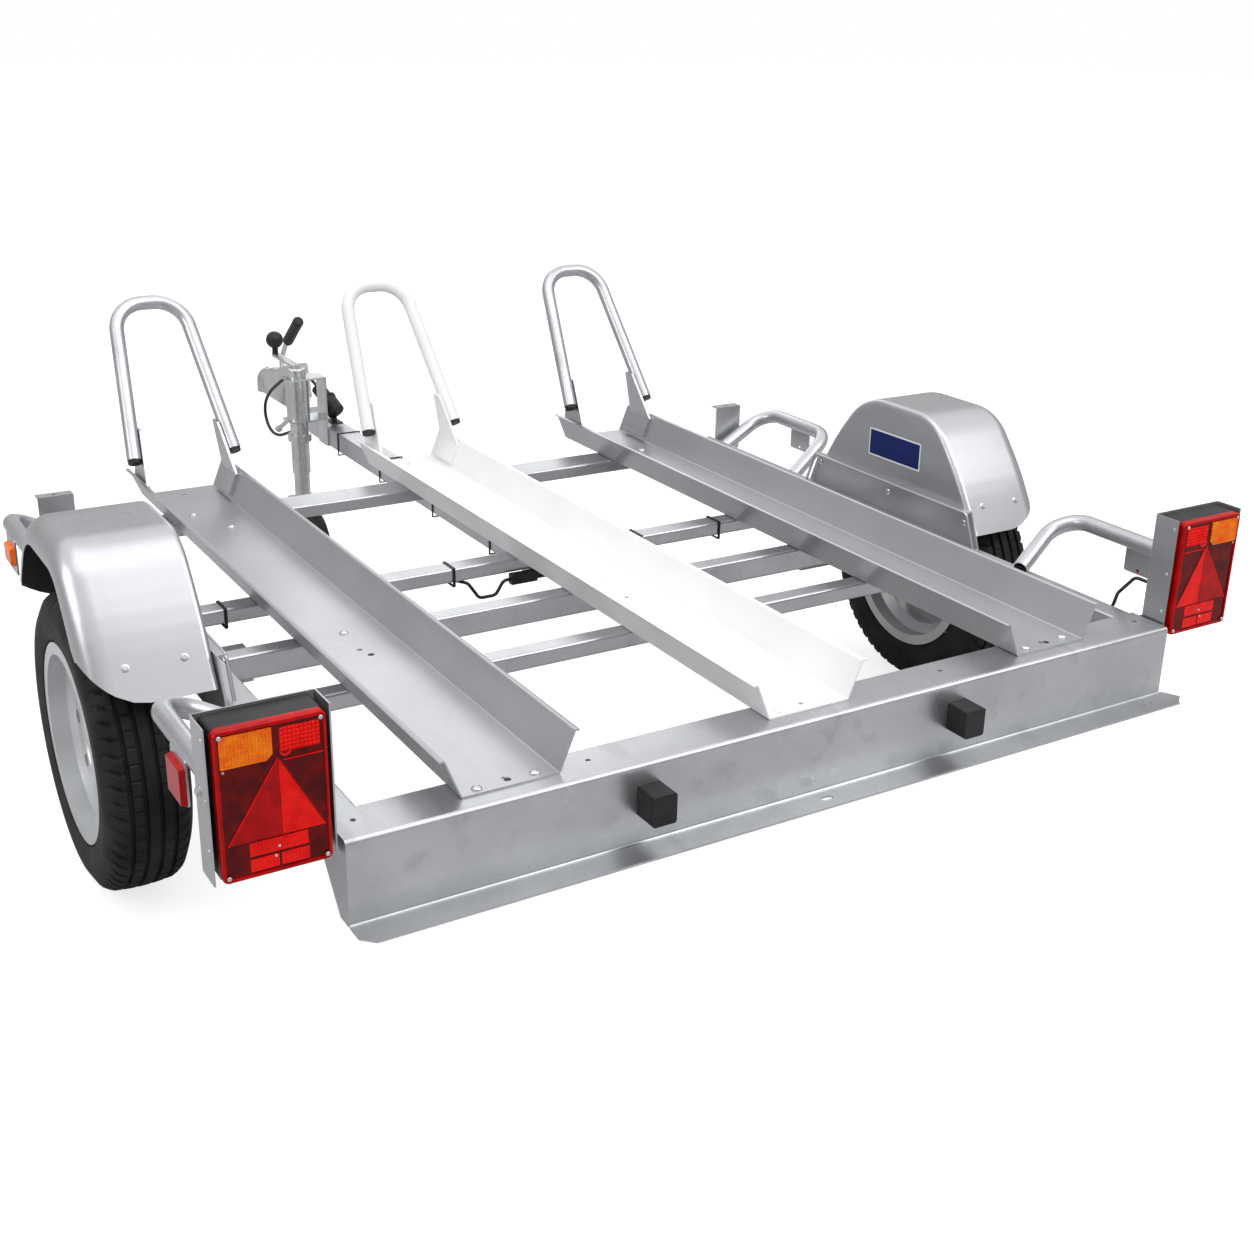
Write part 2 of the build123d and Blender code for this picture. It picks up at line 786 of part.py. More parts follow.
# Side reflectors on the plates: name, distance out, place along, length, height, middle height
reflector_table = (
    (
        "red", rear_plate_out, ahead(rear_plate_ahead), rear_reflector_length, rear_reflector_height,
        rear_plate_bottom + rear_reflector_height / 2,
    ),
    (
        "amber", front_plate_out, ahead(front_plate_ahead), front_reflector_length, front_reflector_height,
        (front_plate_bottom + front_bumper_height) / 2,
    ),
)
for name, out, middle, length, height, height_middle in reflector_table:
    with BuildPart() as side_reflectors:
        for _, s in sides:
            with BuildSketch(Plane.YZ.offset(s * (out + reflector_plate))):
                with Locations((middle, height_middle)):
                    RectangleRounded(length, height, member_corner)
            extrude(amount=s * reflector_body, taper=reflector_taper)
    save(side_reflectors.part, f"side_reflectors_{name}")

# Brackets at the frame's front corners, and the marker lamps on their front sides
with BuildPart() as marker_brackets:
    for _, s in sides:
        bracket_middle = s * (side_outer + marker_bracket_width / 2)
        with BuildSketch(Plane.XZ.offset(-ahead(marker_ahead))):
            with Locations((bracket_middle, (marker_bracket_bottom + marker_bracket_top) / 2)):
                Rectangle(marker_bracket_width, marker_bracket_top - marker_bracket_bottom)
        extrude(amount=-marker_sheet)
        with BuildSketch(Plane.XY.offset(marker_bracket_top - marker_sheet)):
            with Locations((bracket_middle, ahead(marker_ahead + marker_flange / 2))):
                Rectangle(marker_bracket_width, marker_flange)
                Circle(reflector_hole / 2, mode=Mode.SUBTRACT)
        extrude(amount=marker_sheet)
save(marker_brackets.part, "marker_brackets")

marker_lamp_z = marker_bracket_top - marker_sheet - slip_gap - marker_lamp_height / 2
with BuildPart() as marker_lamps:
    for _, s in sides:
        with BuildSketch(Plane.XZ.offset(-ahead(marker_ahead + marker_sheet))):
            with Locations((s * (side_outer + marker_bracket_width / 2), marker_lamp_z)):
                RectangleRounded(marker_lamp_width, marker_lamp_height, member_corner)
        extrude(amount=-marker_lamp_depth, taper=reflector_taper)
save(marker_lamps.part, "marker_lamps")

# Rear lamps: an upright channel each, open to the rear, with a black housing and the lens in it
tray_top = tray_bottom + tray_height
tray_middle_z = tray_bottom + tray_height / 2
with BuildPart() as lamp_trays:
    for _, s in sides:
        with BuildSketch(Plane.XY.offset(tray_bottom)):
            with BuildLine():
                near = s * tray_half - tray_width / 2 + tray_sheet / 2
                far = s * tray_half + tray_width / 2 - tray_sheet / 2
                FilletPolyline(
                    (near, ahead(tray_ahead)),
                    (near, tray_back - tray_sheet / 2),
                    (far, tray_back - tray_sheet / 2),
                    (far, ahead(tray_ahead)),
                    radius=rail_bend,
                )
            trace(line_width=tray_sheet)
        extrude(amount=tray_height)
        # a foot joins the tray to the rear beam's end plate
        with BuildSketch(Plane.XY.offset(tray_bottom)):
            with Locations((s * (half_frame + tray_foot / 2), tray_back - tray_sheet / 2)):
                Rectangle(tray_foot, tray_sheet)
        extrude(amount=frame_top - tray_bottom)
save(lamp_trays.part, "lamp_trays")

lens_rear = ahead(tray_ahead - lamp_proud)
with BuildPart() as lamp_housings:
    for _, s in sides:
        with BuildSketch(Plane.XZ.offset(-(lens_rear + lamp_lens))):
            with Locations((s * tray_half, tray_middle_z)):
                RectangleRounded(lamp_width, lamp_height, lamp_corner)
        extrude(amount=-(tray_back - tray_sheet - lens_rear - lamp_lens))
save(lamp_housings.part, "lamp_housings")

amber_width = amber_share * lamp_width
amber_middle_x = tray_half + lamp_width / 2 - lamp_border - amber_width / 2
amber_middle_z = tray_middle_z + lamp_height / 2 - lamp_border - amber_height / 2
with BuildPart() as lamp_lenses:
    for _, s in sides:
        with BuildSketch(Plane.XZ.offset(-(lens_rear + lamp_lens))):
            with Locations((s * tray_half, tray_middle_z)):
                RectangleRounded(lamp_width, lamp_height, lamp_corner)
        extrude(amount=lamp_lens)
    chamfer(
        lamp_lenses.faces().filter_by(Axis.Y).group_by(Axis.Y)[0].edges(), length=lamp_chamfer
    )
    for _, s in sides:
        with BuildSketch(Plane.XZ.offset(-lens_rear)):
            with Locations((s * amber_middle_x, amber_middle_z)):
                Rectangle(amber_width + 2 * slip_gap, amber_height + 2 * slip_gap)
        extrude(amount=-lamp_lens, both=True, mode=Mode.SUBTRACT)
save(lamp_lenses.part, "lamp_lenses")

with BuildPart() as indicator_lenses:
    for _, s in sides:
        with BuildSketch(Plane.XZ.offset(-(lens_rear + lamp_lens))):
            with Locations((s * amber_middle_x, amber_middle_z)):
                Rectangle(amber_width, amber_height)
        extrude(amount=lamp_lens + amber_proud)
save(indicator_lenses.part, "indicator_lenses")

# Number plate lamps on the rear beam's face
with BuildPart() as plate_lamps:
    for x in plate_lamp_places:
        with BuildSketch(Plane.XZ.offset(-beam_face_y)):
            with Locations((x, plate_lamp_base + plate_lamp_height / 2)):
                RectangleRounded(plate_lamp_width, plate_lamp_height, member_corner)
        extrude(amount=plate_lamp_depth)
save(plate_lamps.part, "plate_lamps")
print("lamps made")

# Half axles under the side members: each a torsion tube on two cheeks below a plate
torsion_y = axle_y + arm_length
torsion_z = axle_z + arm_drop
torsion_inside = torsion_tube - 2 * torsion_wall
side_bottom = frame_top - side_member_height
with BuildPart() as axle_units:
    for _, s in sides:
        with BuildSketch(Plane.YZ.offset(s * (torsion_out - torsion_length))):
            with Locations((torsion_y, torsion_z)):
                RectangleRounded(torsion_tube, torsion_tube, member_corner)
                Rectangle(torsion_inside, torsion_inside, mode=Mode.SUBTRACT)
        extrude(amount=s * torsion_length)
        with BuildSketch(Plane.XY.offset(side_bottom)):
            with Locations((s * (side_inner + side_outer) / 2, torsion_y)):
                Rectangle(side_member_width - 2 * slip_gap, 2 * torsion_tube)
        extrude(amount=-axle_plate)
        for end in (-1, 1):
            cheek_y = torsion_y + end * (torsion_tube - axle_plate) / 2
            with BuildSketch(Plane.XZ.offset(-(cheek_y + axle_plate / 2))):
                with Locations((s * (side_inner + side_outer) / 2, (side_bottom + torsion_z) / 2)):
                    Rectangle(side_member_width - 2 * slip_gap, side_bottom - torsion_z)
            extrude(amount=axle_plate)
        # the inside of the torsion tube stays open
        with BuildSketch(Plane.YZ.offset(s * (torsion_out - torsion_length))):
            with Locations((torsion_y, torsion_z)):
                Rectangle(torsion_inside, torsion_inside)
        extrude(amount=s * torsion_length, mode=Mode.SUBTRACT)
save(axle_units.part, "axle_units")

# Trailing arms with the spindles that carry the wheels
spindle_end = wheel_half_track - spindle_inset
with BuildPart() as axle_arms:
    for _, s in sides:
        with BuildSketch(Plane.YZ.offset(s * torsion_out)):
            with BuildLine():
                Polyline((torsion_y, torsion_z), (axle_y, axle_z))
            trace(line_width=arm_neck)
            with Locations((torsion_y, torsion_z)):
                Circle(arm_width / 2)
            with Locations((axle_y, axle_z)):
                Circle(arm_eye)
        extrude(amount=s * arm_thickness)
        with BuildSketch(Plane.YZ.offset(s * torsion_out)):
            with Locations((axle_y, axle_z)):
                Circle(spindle_radius)
        extrude(amount=s * (spindle_end - torsion_out))
save(axle_arms.part, "axle_arms")

# Road wheels: name, side. Profiles are drawn in a plane through the wheel's axis, with the first value
# outwards from the wheel's middle and the second the radius.
rim_half = (rim_width + rim_sheet) / 2
bead_line = rim_bead_radius - rim_sheet / 2
tyre_widest = (rim_flange_radius + tyre_radius) / 2
for name, s in sides:
    wheel_middle = (s * wheel_half_track, axle_y, axle_z)
    wheel_plane = Plane(wheel_middle, x_dir=(s, 0, 0), z_dir=(0, -s, 0))
    wheel_axis = Axis(wheel_middle, (1, 0, 0))

    with BuildPart() as tyre:
        with BuildSketch(wheel_plane):
            with BuildLine():
                for q in (-1, 1):
                    Polyline(
                        (q * (rim_width / 2 - tyre_bead), rim_bead_radius),
                        (q * (rim_width / 2 - rim_bend), rim_bead_radius),
                        (q * rim_width / 2, rim_bead_radius + rim_bend),
                        (q * rim_width / 2, rim_flange_radius),
                    )
                    Polyline(
                        (q * rim_width / 2, rim_flange_radius),
                        (q * (tyre_width / 2 - tyre_wall_bulge), rim_flange_radius + tyre_wall_rise),
                        (q * tyre_width / 2, tyre_widest),
                        (q * (tyre_width / 2 - tyre_wall_bulge), tyre_radius - tyre_wall_rise),
                        (q * tyre_shoulder / 2, tyre_radius - tyre_shoulder_drop),
                        (q * tyre_crown / 2, tyre_radius),
                    )
                    Polyline(
                        (q * (rim_width / 2 - tyre_bead), rim_bead_radius),
                        (q * (tyre_width / 2 - tyre_bead), tyre_widest),
                        (q * tyre_crown / 2, tyre_radius - tyre_tread),
                    )
                Line((-tyre_crown / 2, tyre_radius), (tyre_crown / 2, tyre_radius))
                Line((-tyre_crown / 2, tyre_radius - tyre_tread), (tyre_crown / 2, tyre_radius - tyre_tread))
            make_face()
        revolve(axis=wheel_axis)
    save(tyre.part, f"tyre_{name}")

    with BuildPart() as rim:
        with BuildSketch(wheel_plane):
            with BuildLine():
                Polyline(
                    (rim_half, rim_flange_radius),
                    (rim_half, bead_line),
                    (rim_well_half + rim_well_slope, bead_line),
                    (rim_well_half, rim_well_radius),
                    (-rim_well_half, rim_well_radius),
                    (-rim_well_half - rim_well_slope, bead_line),
                    (-rim_half, bead_line),
                    (-rim_half, rim_flange_radius),
                )
            trace(line_width=rim_sheet)
        revolve(axis=wheel_axis)
        with BuildSketch(wheel_plane):
            with BuildLine():
                Polyline(
                    (disc_seat, hub_cap_radius + rim_sheet),
                    (disc_seat, hub_radius + rim_sheet),
                    (disc_seat + disc_rise, rim_hole_circle - 2 * rim_hole_radius),
                    (disc_seat + disc_rise, rim_hole_circle + rim_hole_radius),
                    (disc_seat, rim_well_radius),
                )
            trace(line_width=rim_sheet)
        revolve(axis=wheel_axis)
        with BuildSketch(Plane.YZ.offset(s * wheel_half_track)):
            with Locations((axle_y, axle_z)):
                with PolarLocations(rim_hole_circle, rim_hole_count):
                    Circle(rim_hole_radius)
        extrude(amount=s * rim_half, mode=Mode.SUBTRACT)
    save(rim.part, f"rim_{name}")

    hub_face = disc_seat - rim_sheet / 2
    hub_back = torsion_out + arm_thickness + running_gap - wheel_half_track
    with BuildPart() as hub:
        with BuildSketch(wheel_plane):
            with BuildLine():
                Polyline(
                    (hub_back, spindle_radius + slip_gap),
                    (hub_back, hub_body_radius),
                    (hub_face - hub_flange, hub_body_radius),
                    (hub_face - hub_flange, hub_radius),
                    (hub_face, hub_radius),
                    (hub_face, hub_cap_radius),
                    (hub_face + hub_cap_length, hub_cap_radius),
                    (hub_face + hub_cap_length, 0),
                    (hub_bore_end, 0),
                    (hub_bore_end, spindle_radius + slip_gap),
                    close=True,
                )
            make_face()
        revolve(axis=wheel_axis)
        fillet(hub.edges().filter_by(GeomType.CIRCLE).sort_by(Axis.X)[-1 if s > 0 else 0], radius=grip_end)
    save(hub.part, f"hub_{name}")
print("wheels made")

# Coupling: a pressed head over the ball, with a back part that rests on the drawbar and ends in a hump under
# the lever
ball_y = nose_y - coupling_nose_radius
coupling_rear = back(coupling_back)
hump_y = back(coupling_hump_back)
lever_y = back(lever_foot_back)
coupling_top = coupling_ball_height + coupling_nose_radius
rim_height = coupling_ball_height - coupling_skirt
saddle_height = coupling_top + coupling_saddle_rise
lever_foot = Vector(0, lever_y, saddle_height)
lug_y = back(chain_lug_back)
lug_z = drawbar_top - coupling_throat - chain_lug_drop
with BuildPart() as coupling_head:
    with BuildSketch(Plane.YZ):
        with BuildLine():
            Polyline(
                (coupling_rear, drawbar_top),
                (coupling_rear, drawbar_top + coupling_foot),
                (hump_y - coupling_hump_run, drawbar_top + 2 * coupling_foot),
                (hump_y, coupling_hump_height),
                (lever_y - lever_seat / 2, saddle_height),
                (lever_y + lever_seat / 2, saddle_height),
                (ball_y, coupling_top - coupling_edge),
                (ball_y, rim_height),
                (drawbar_end, drawbar_top - coupling_throat),
                (drawbar_end, drawbar_top),
                close=True,
            )
        make_face()
    extrude(amount=coupling_width / 2, both=True)
    roof = coupling_head.faces().filter_by(
        lambda face: face.normal_at().Z > slip_gap and face.center().Z > drawbar_top + 2 * coupling_foot
    )
    shoulders = roof.edges().filter_by(lambda edge: abs(edge.center().X) > coupling_width / 2 - slip_gap)
    fillet(shoulders, radius=coupling_edge)
    with BuildSketch(Plane.XZ.offset(-ball_y)):
        with BuildLine():
            Line((0, rim_height), (coupling_nose_radius, rim_height))
            Line((coupling_nose_radius, rim_height), (coupling_nose_radius, coupling_ball_height))
            RadiusArc(
                (coupling_nose_radius, coupling_ball_height), (0, coupling_top), -coupling_nose_radius
            )
            Line((0, coupling_top), (0, rim_height))
        make_face()
    revolve(axis=Axis((0, ball_y, 0), (0, 0, 1)))
    # the socket for the ball
    with BuildSketch(Plane.XZ.offset(-ball_y)):
        with BuildLine():
            Line((0, rim_height), (coupling_ball_radius, rim_height))
            Line((coupling_ball_radius, rim_height), (coupling_ball_radius, coupling_ball_height))
            RadiusArc(
                (coupling_ball_radius, coupling_ball_height),
                (0, coupling_ball_height + coupling_ball_radius),
                -coupling_ball_radius,
            )
            Line((0, coupling_ball_height + coupling_ball_radius), (0, rim_height))
        make_face()
    revolve(axis=Axis((0, ball_y, 0), (0, 0, 1)), mode=Mode.SUBTRACT)
    # the lug for the safety chain
    with BuildSketch(Plane.YZ):
        with Locations((lug_y, lug_z)):
            Circle(chain_lug_radius)
        with Locations((lug_y, lug_z + chain_lug_drop)):
            Rectangle(2 * chain_lug_radius, 2 * chain_lug_drop)
        with Locations((lug_y, lug_z)):
            Circle(chain_lug_hole / 2, mode=Mode.SUBTRACT)
    extrude(amount=chain_lug_sheet / 2, both=True)
save(coupling_head.part, "coupling_head")

# Safety chain: each link is a ring with bevelled edges, and every other one is turned by a quarter
link_length = chain_inner_length + 2 * chain_wire
link_width = chain_inner_width + 2 * chain_wire
chain_top = lug_z - chain_lug_hole / 2 + chain_wire + chain_seat - link_length / 2
with BuildPart() as safety_chain:
    for i in range(chain_links):
        link_middle = (0, lug_y, chain_top - i * (chain_inner_length - slip_gap))
        if i % 2 == 0:
            link_plane = Plane(link_middle, x_dir=(1, 0, 0), z_dir=(0, -1, 0))
        else:
            link_plane = Plane(link_middle, x_dir=(0, 1, 0), z_dir=(1, 0, 0))
        with BuildPart(mode=Mode.PRIVATE) as link:
            with BuildSketch(link_plane):
                SlotOverall(link_length, link_width, rotation=90)
                SlotOverall(chain_inner_length, chain_inner_width, rotation=90, mode=Mode.SUBTRACT)
            extrude(amount=chain_wire / 2, both=True)
            chamfer(link.faces().sort_by(SortBy.AREA)[-2:].edges(), length=chain_bevel)
        add(link.part)
save(safety_chain.part, "safety_chain")

grip_front = Vector(0, back(grip_front_back), saddle_height + grip_front_rise)
grip_rear = Vector(0, back(grip_rear_back), saddle_height + grip_rear_rise)
with BuildPart() as coupling_handle:
    with BuildLine() as bend:
        FilletPolyline(
            lever_foot,
            lever_foot + Vector(0, 0, lever_neck),
            grip_front - (grip_rear - grip_front).normalized() * lever_neck,
            grip_front,
            radius=lever_bend,
        )
    with BuildSketch(Plane(lever_foot, z_dir=(0, 0, 1))):
        Circle(lever_rod / 2)
    sweep()
save(coupling_handle.part, "coupling_handle")

with BuildPart() as coupling_grip:
    with BuildSketch(Plane(grip_front, z_dir=grip_rear - grip_front)):
        Circle(grip_radius)
    extrude(amount=(grip_rear - grip_front).length)
    fillet(coupling_grip.edges(), radius=grip_end)
save(coupling_grip.part, "coupling_grip")

# Clamp for the jockey wheel: a sleeve between two plates, on a web along the drawbar's left side
jockey_x = -jockey_side
jockey_y = back(jockey_back)
web_x = -drawbar_width / 2
clamp_inner = jockey_tube / 2 + slip_gap
with BuildPart() as jockey_clamp:
    with BuildSketch(Plane.YZ.offset(web_x)):
        with Locations((jockey_y, (drawbar_bottom + clamp_top) / 2)):
            Rectangle(clamp_length, clamp_top - drawbar_bottom)
    extrude(amount=-clamp_sheet)
    for z in (clamp_bottom, clamp_top - clamp_sheet):
        with BuildSketch(Plane.XY.offset(z)):
            with Locations(((web_x + jockey_x - clamp_reach) / 2, jockey_y)):
                Rectangle(clamp_reach - jockey_x + web_x, clamp_length)
        extrude(amount=clamp_sheet)
    with BuildSketch(Plane.XY.offset(clamp_bottom)):
        with Locations((jockey_x, jockey_y)):
            Circle(clamp_inner + clamp_sleeve_wall)
    extrude(amount=clamp_top - clamp_bottom)
    with BuildLine() as bend:
        lever_x = jockey_x - clamp_reach / 2
        lever_z = clamp_bottom - clamp_lever / 2 + hoop_weld
        FilletPolyline(
            (lever_x, jockey_y, lever_z),
            (lever_x, jockey_y + clamp_length / 2, lever_z),
            (lever_x, jockey_y + clamp_length / 2 + clamp_lever_length, lever_z - clamp_lever_drop),
            radius=lever_bend,
        )
    with BuildSketch(Plane(bend.line @ 0, z_dir=bend.line % 0)):
        Circle(clamp_lever / 2)
    sweep()
    with Locations(bend.line @ 1):
        Sphere(clamp_knob_radius)
    with BuildSketch(Plane.XY.offset(clamp_bottom - clamp_lever)):
        with Locations((jockey_x, jockey_y)):
            Circle(clamp_inner)
    extrude(amount=clamp_top, mode=Mode.SUBTRACT)
save(jockey_clamp.part, "jockey_clamp")

# Jockey wheel: the outer tube with its collar and cap, the crank and its knob
with BuildPart() as jockey_outer_tube:
    with BuildSketch(Plane.XY.offset(jockey_tube_bottom)):
        with Locations((jockey_x, jockey_y)):
            Circle(jockey_tube / 2)
    extrude(amount=jockey_tube_top - jockey_tube_bottom)
    with BuildSketch(Plane.XY.offset(jockey_collar_bottom)):
        with Locations((jockey_x, jockey_y)):
            Circle(jockey_collar_radius)
    extrude(amount=jockey_collar_height)
    with BuildSketch(Plane.XY.offset(jockey_tube_top)):
        with Locations((jockey_x, jockey_y)):
            Circle(jockey_cap_radius)
    extrude(amount=jockey_cap_height)
    fillet(jockey_outer_tube.edges().group_by(Axis.Z)[-1], radius=member_corner)
    with BuildSketch(Plane.XY.offset(jockey_tube_bottom)):
        with Locations((jockey_x, jockey_y)):
            Circle(jockey_tube / 2 - jockey_tube_wall)
    extrude(amount=jockey_tube_top - jockey_tube_bottom, mode=Mode.SUBTRACT)
save(jockey_outer_tube.part, "jockey_outer_tube")

crank_bottom = jockey_tube_top + jockey_cap_height
knob_y = jockey_y + crank_length
with BuildPart() as jockey_crank:
    with BuildSketch(Plane.XY.offset(crank_bottom)):
        with Locations((jockey_x, jockey_y + crank_length / 2)):
            SlotCenterToCenter(crank_length, crank_width, rotation=90)
    extrude(amount=crank_thickness)
save(jockey_crank.part, "jockey_crank")

with BuildPart() as crank_knob:
    knob_bottom = crank_bottom + crank_thickness
    with BuildSketch(Plane.XY.offset(knob_bottom)):
        with Locations((jockey_x, knob_y)):
            Circle(knob_neck_radius)
    extrude(amount=knob_neck + knob_neck_radius)
    with Locations((jockey_x, knob_y, knob_bottom + knob_neck + knob_radius)):
        Sphere(knob_radius)
save(crank_knob.part, "crank_knob")

# The leg slides in the outer tube, the fork turns under it, and the wheel turns in the fork
leg_bore = fork_pin_radius + slip_gap
with BuildPart() as jockey_leg_tube:
    with BuildSketch(Plane.XY.offset(jockey_leg_bottom)):
        with Locations((jockey_x, jockey_y)):
            Circle(jockey_leg / 2)
            Circle(leg_bore, mode=Mode.SUBTRACT)
    extrude(amount=fork_pin_length)
    with BuildSketch(Plane.XY.offset(jockey_leg_bottom + fork_pin_length)):
        with Locations((jockey_x, jockey_y)):
            Circle(jockey_leg / 2)
            Circle(jockey_leg / 2 - jockey_leg_wall, mode=Mode.SUBTRACT)
    extrude(amount=jockey_leg_length - fork_pin_length)
save(jockey_leg_tube.part, "jockey_leg")

jockey_axle_y = jockey_y - jockey_trail
jockey_axle_z = jockey_wheel_radius
fork_top = jockey_leg_bottom - slip_gap
fork_inner = jockey_hub_length / 2 + slip_gap
with BuildPart() as jockey_fork:
    with BuildSketch(Plane.XY.offset(fork_top)):
        with Locations((jockey_x, jockey_y)):
            Rectangle(2 * (fork_inner + fork_sheet), 2 * fork_crown_radius)
    extrude(amount=-fork_crown)
    with BuildSketch(Plane.XY.offset(fork_top)):
        with Locations((jockey_x, jockey_y)):
            Circle(fork_pin_radius)
    extrude(amount=fork_pin_length)
    for q in (-1, 1):
        with BuildSketch(Plane.YZ.offset(jockey_x + q * fork_inner)):
            with BuildLine():
                Polyline(
                    (jockey_y - fork_crown_radius, fork_top),
                    (jockey_y + fork_crown_radius, fork_top),
                    (jockey_y + fork_crown_radius, fork_top - fork_crown),
                    (jockey_axle_y + fork_end_radius, jockey_axle_z),
                    (jockey_axle_y - fork_end_radius, jockey_axle_z),
                    (jockey_y - fork_crown_radius - fork_sheet, fork_top - fork_crown),
                    close=True,
                )
            make_face()
            with Locations((jockey_axle_y, jockey_axle_z)):
                Circle(fork_end_radius)
        extrude(amount=q * fork_sheet)
    with BuildSketch(Plane.YZ.offset(jockey_x)):
        with Locations((jockey_axle_y, jockey_axle_z)):
            Circle(jockey_axle_radius)
    extrude(amount=fork_inner + fork_sheet, both=True)
    for q in (-1, 1):
        with BuildSketch(Plane.YZ.offset(jockey_x + q * (fork_inner + fork_sheet))):
            with Locations((jockey_axle_y, jockey_axle_z)):
                RegularPolygon(jockey_axle_head, 6)
        extrude(amount=q * jockey_axle_radius)
save(jockey_fork.part, "jockey_fork")

jockey_plane = Plane((jockey_x, jockey_axle_y, jockey_axle_z), x_dir=(1, 0, 0), z_dir=(0, -1, 0))
jockey_axis = Axis((jockey_x, jockey_axle_y, jockey_axle_z), (1, 0, 0))
rim_edge = jockey_wheel_width / 2 - jockey_rim_wall
with BuildPart() as jockey_rim:
    with BuildSketch(jockey_plane):
        with Locations((0, (jockey_axle_radius + slip_gap + jockey_hub_radius) / 2)):
            Rectangle(jockey_hub_length, jockey_hub_radius - jockey_axle_radius - slip_gap)
        with Locations((0, (jockey_hub_radius + jockey_rim_radius) / 2 - jockey_rim_wall / 2)):
            Rectangle(jockey_disc, jockey_rim_radius - jockey_hub_radius)
        with Locations((0, jockey_rim_radius - jockey_rim_wall / 2)):
            Rectangle(2 * rim_edge, jockey_rim_wall)
    revolve(axis=jockey_axis)
save(jockey_rim.part, "jockey_rim")

tyre_half = (
    (rim_edge, jockey_rim_radius),
    (jockey_wheel_width / 2, jockey_rim_radius + jockey_rim_wall),
    (jockey_wheel_width / 2, jockey_wheel_radius - jockey_wheel_shoulder),
    (jockey_wheel_crown, jockey_wheel_radius - jockey_wheel_shoulder / 3),
    (jockey_wheel_crown / 2, jockey_wheel_radius),
)
with BuildPart() as jockey_tyre:
    with BuildSketch(jockey_plane):
        with BuildLine():
            Polyline(*tyre_half, *[(-across, radius) for across, radius in tyre_half[::-1]], close=True)
        make_face()
    revolve(axis=jockey_axis)
save(jockey_tyre.part, "jockey_tyre")

# Holder on the drawbar for the lighting cable's plug: a tilted socket on an upright web
holder_y = back(holder_back)
holder_plane = Plane((holder_side, holder_y, holder_height), z_dir=holder_tilt)
with BuildPart() as plug_holder:
    with BuildSketch(Plane.XY.offset(drawbar_top)):
        with Locations((holder_side, holder_y + holder_web / 2)):
            Rectangle(drawbar_width / 2, holder_foot)
    extrude(amount=holder_sheet)
    with BuildSketch(Plane.YZ.offset(holder_side)):
        with Locations((holder_y + holder_web / 2, (drawbar_top + holder_height) / 2)):
            Rectangle(holder_web, holder_height - drawbar_top)
    extrude(amount=holder_sheet / 2, both=True)
    with BuildSketch(holder_plane):
        Circle(holder_radius)
    extrude(amount=holder_length)
    with BuildSketch(holder_plane.offset(holder_sheet)):
        Circle(plug_radius + slip_gap)
    extrude(amount=holder_length, mode=Mode.SUBTRACT)
save(plug_holder.part, "plug_holder")

with BuildPart() as cable_plug:
    with BuildSketch(holder_plane.offset(holder_sheet)):
        Circle(plug_radius)
    extrude(amount=plug_length)
    with BuildSketch(holder_plane.offset(holder_length)):
        Circle(plug_flange_radius)
    extrude(amount=plug_flange)
save(cable_plug.part, "cable_plug")

# Lighting cable: a tube of straight runs and bends. Each bend is as wide as leaves a share of the shorter run
# beside it straight.
wiring_z = drawbar_bottom - slip_gap - wiring / 2
cable_start = Vector(0, back(gland_back), drawbar_bottom - gland_width / 2)
cable_end = holder_plane.origin + holder_plane.z_dir * (holder_sheet + plug_length)
before_end = cable_end + holder_plane.z_dir * cable_last_run
cable_route = [cable_start]
cable_route += [Vector(x, back(distance), z) for x, distance, z in cable_points]
cable_route += [before_end, cable_end]
cable_bends = []
for before, corner, after in zip(cable_route, cable_route[1:], cable_route[2:]):
    arriving, leaving = corner - before, after - corner
    half_turn = radians(arriving.get_angle(leaving)) / 2
    shorter = min(arriving.length, leaving.length)
    cable_bends.append((1 - cable_straight_share) / 2 * shorter / tan(half_turn))
with BuildPart() as lighting_cable:
    with BuildLine() as bend:
        FilletPolyline(*cable_route, radius=cable_bends)
    with BuildSketch(Plane(bend.line @ 0, z_dir=bend.line % 0)):
        Circle(cable_diameter / 2)
    sweep()
save(lighting_cable.part, "lighting_cable")
cable_length = sum(edge.length for edge in bend.edges())
cable_volume = lighting_cable.part.volume / (pi * cable_diameter**2 / 4 * cable_length)
print("cable length", round(cable_length), "volume over section times length", round(cable_volume, 4))
print("cable bends", [round(r) for r in cable_bends])

# Wiring: a trunk below the drawbar to the connector behind the second member, from there a run along the member
# into each side member, and a tail from each side member to its rear lamp. The left-hand run hangs in a loop
# beside the connector.
connector_y = ahead(second_member_ahead) - slip_gap - connector_depth / 2
second_y = ahead(second_member_ahead + second_member_width / 2)
member_z = frame_top - second_member_height - slip_gap - wiring / 2
connector_low = connector_middle - connector_spread
connector_high = connector_middle + connector_spread
connector_right = connector_side + connector_length / 2
connector_left = connector_side - connector_length / 2
trunk = [
    (0, back(gland_back + gland_length), wiring_z),
    (0, drawbar_rear - wiring, wiring_z),
    (connector_right + 1.3 * wiring_bend, connector_y, connector_low),
    (connector_right, connector_y, connector_low),
]
right_run = [
    (connector_right, connector_y, connector_high),
    (connector_right + 2.5 * wiring_bend, connector_y, connector_high),
    (connector_right + 5 * wiring_bend, second_y, member_z),
    (side_inner, second_y, member_z),
]
left_run = [
    (connector_left, connector_y, connector_middle),
    (connector_left - 16, connector_y, connector_middle),
    (connector_left - 32, connector_y + 5, connector_middle - 31),
    (connector_left - 68, connector_y + 9, connector_middle - 33),
    (connector_left - 92, second_y - 18, member_z - 4),
    (connector_left - 115, second_y, member_z),
    (-side_inner, second_y, member_z),
]
wiring_table = [(trunk, wiring_bend), (right_run, wiring_bend), (left_run, wiring_loop_bend)]
